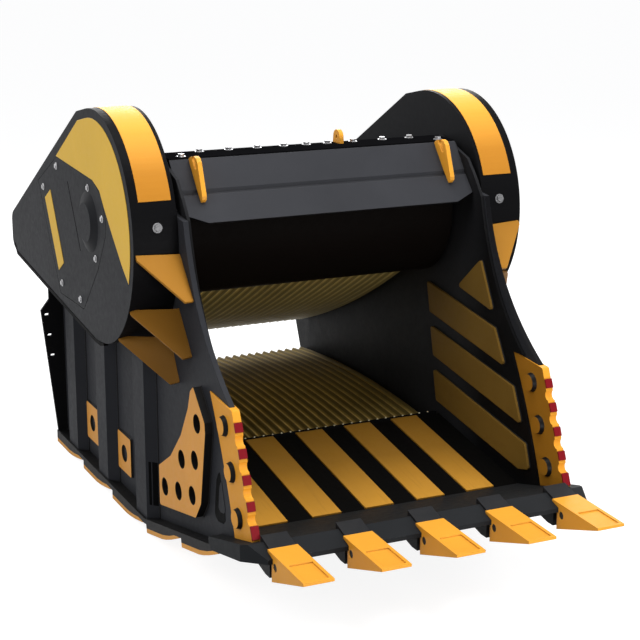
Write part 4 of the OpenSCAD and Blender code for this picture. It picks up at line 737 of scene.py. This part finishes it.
bm = bmesh.new()
for side in SIDES:
    spine = [side_point(*share) for share in FLANGE_LINE]
    loops = []
    for k, point in enumerate(spine):
        at_end = k in (0, len(spine) - 1)
        ahead = (spine[min(k + 1, len(spine) - 1)] - spine[max(k - 1, 0)]).normalized()
        down = Vector((0.0, ahead.z, -ahead.y))
        down = down if down.z < 0 else -down
        near, far = side * (CASING_X - FLANGE_SUNK), side * (CASING_X + FLANGE_PROUD)
        reach = FLANGE_WIDTH * (FLANGE_END_SHARE if at_end else 1.0)
        corners = [(near, -FLANGE_LAP), (far, -FLANGE_LAP), (far, reach - FLANGE_CHAMFER),
                   (far - side * FLANGE_CHAMFER, reach), (near, reach)]
        loops.append([X_AXIS * x + point + down * d for x, d in corners])
    rings(bm, loops)
new_piece("casing_flanges", bm, "inlay", outward=True)

MERGE_GAP = 2e-5
SHARP_ANGLE = 0.5


def seat_edges(name, on_seat):
    """Chains of the sharp edges of a CAD node that lie on its seat."""
    work = bmesh.new()
    work.from_mesh(nodes[name].data)
    bmesh.ops.remove_doubles(work, verts=work.verts, dist=MERGE_GAP)
    links = {}
    for e in work.edges:
        if len(e.link_faces) != 2 or e.calc_face_angle(0.0) <= SHARP_ANGLE:
            continue
        if on_seat(e.verts[0].co) and on_seat(e.verts[1].co):
            a, b = (v.co.copy().freeze() for v in e.verts)
            links.setdefault(a, []).append(b)
            links.setdefault(b, []).append(a)
    work.free()
    chains = []
    while links:
        start = next((p for p, others in links.items() if len(others) == 1), next(iter(links)))
        chain, here = [start], start
        while links.get(here):
            there = links[here].pop()
            if not links[here]:
                del links[here]
            back = links.get(there, [])
            if here in back:
                back.remove(here)
            if not back:
                links.pop(there, None)
            chain.append(there)
            here = there
        if len(chain) > 1:
            chains.append(chain)
    return chains


BEAD_STEP = 0.007
BEAD_SIDES = 6
LEAST_STEPS = 3
CLOSED_GAP = 1e-4
ACROSS = 0.9
BEAD_THIN, PASS_SWELL, RANDOM_SWELL = 0.92, 0.16, 0.10


def bead(bm, chain, r, draws):
    """A weld bead along a chain of points, with the small swells of each pass."""
    closed = (chain[0] - chain[-1]).length < CLOSED_GAP
    steps = []
    for a, b in zip(chain, chain[1:]):
        count = max(1, round((b - a).length / BEAD_STEP))
        steps += [a.lerp(b, k / count) for k in range(count)]
    if not closed:
        steps.append(Vector(chain[-1]))
    if len(steps) < LEAST_STEPS:
        return
    loops = []
    for k, point in enumerate(steps):
        after = steps[(k + 1) % len(steps)] if closed or k + 1 < len(steps) else point
        before = steps[k - 1] if closed or k else point
        ahead = (after - before).normalized()
        off_x = abs(ahead.x) <= ACROSS
        across = (ahead.cross(X_AXIS) if off_x else ahead.orthogonal()).normalized()
        up = ahead.cross(across)
        swell = r * (BEAD_THIN + PASS_SWELL * (k % 2) + RANDOM_SWELL * (draws.random() - 0.5))
        loops.append([point + (across * math.cos(t) + up * math.sin(t)) * swell
                      for t in circle(BEAD_SIDES)])
    rings(bm, loops, closed)


# Weld beads: name, the CAD nodes they go round, the plane of their seat, the bead's radius
SEAT_SPARE = 0.0008
SEED = 7
BEADS = (("plate_welds", ("side_wear_plates", "anchor_plates"), WALL_X, 0.0050),
         ("rib_welds", ("wall_ribs",), WALL_X, 0.0055),
         ("inner_plate_welds", ("wall_wear_plates",), LINER_X, 0.0045))
draws = random.Random(SEED)
for name, sources, seat_x, r in BEADS:
    bm = bmesh.new()
    for source in sources:
        for chain in seat_edges(source, lambda p: abs(abs(p.x) - seat_x) < SEAT_SPARE):
            bead(bm, chain, r, draws)
    new_piece(name, bm, "weld", smooth=True, outward=True)

# A plain pale floor, which glows white to the camera and keeps the part's soft shadow
FLOOR_HALF = 150.0
FLOOR_TONE = (0.30, 0.30, 0.30, 1.0)
FLOOR_GLOW = 0.88

floor_data = bpy.data.meshes.new("floor")
floor_data.from_pydata([(-FLOOR_HALF, -FLOOR_HALF, 0.0), (FLOOR_HALF, -FLOOR_HALF, 0.0),
                        (FLOOR_HALF, FLOOR_HALF, 0.0), (-FLOOR_HALF, FLOOR_HALF, 0.0)],
                       [], [(0, 1, 2, 3)])
floor = bpy.data.objects.new("floor", floor_data)
scene.collection.objects.link(floor)
made, g = material("floor")
matt = g.add("ShaderNodeBsdfDiffuse", Color=FLOOR_TONE)
glow = g.add("ShaderNodeEmission", Color=WHITE, Strength=g.math("MULTIPLY", g.seen(), FLOOR_GLOW))
total = g.add("ShaderNodeAddShader")
g.put(total, 0, matt.outputs[0])
g.put(total, 1, glow.outputs[0])
g.put(g.add("ShaderNodeOutputMaterial"), "Surface", total.outputs[0])
floor_data.materials.append(made)
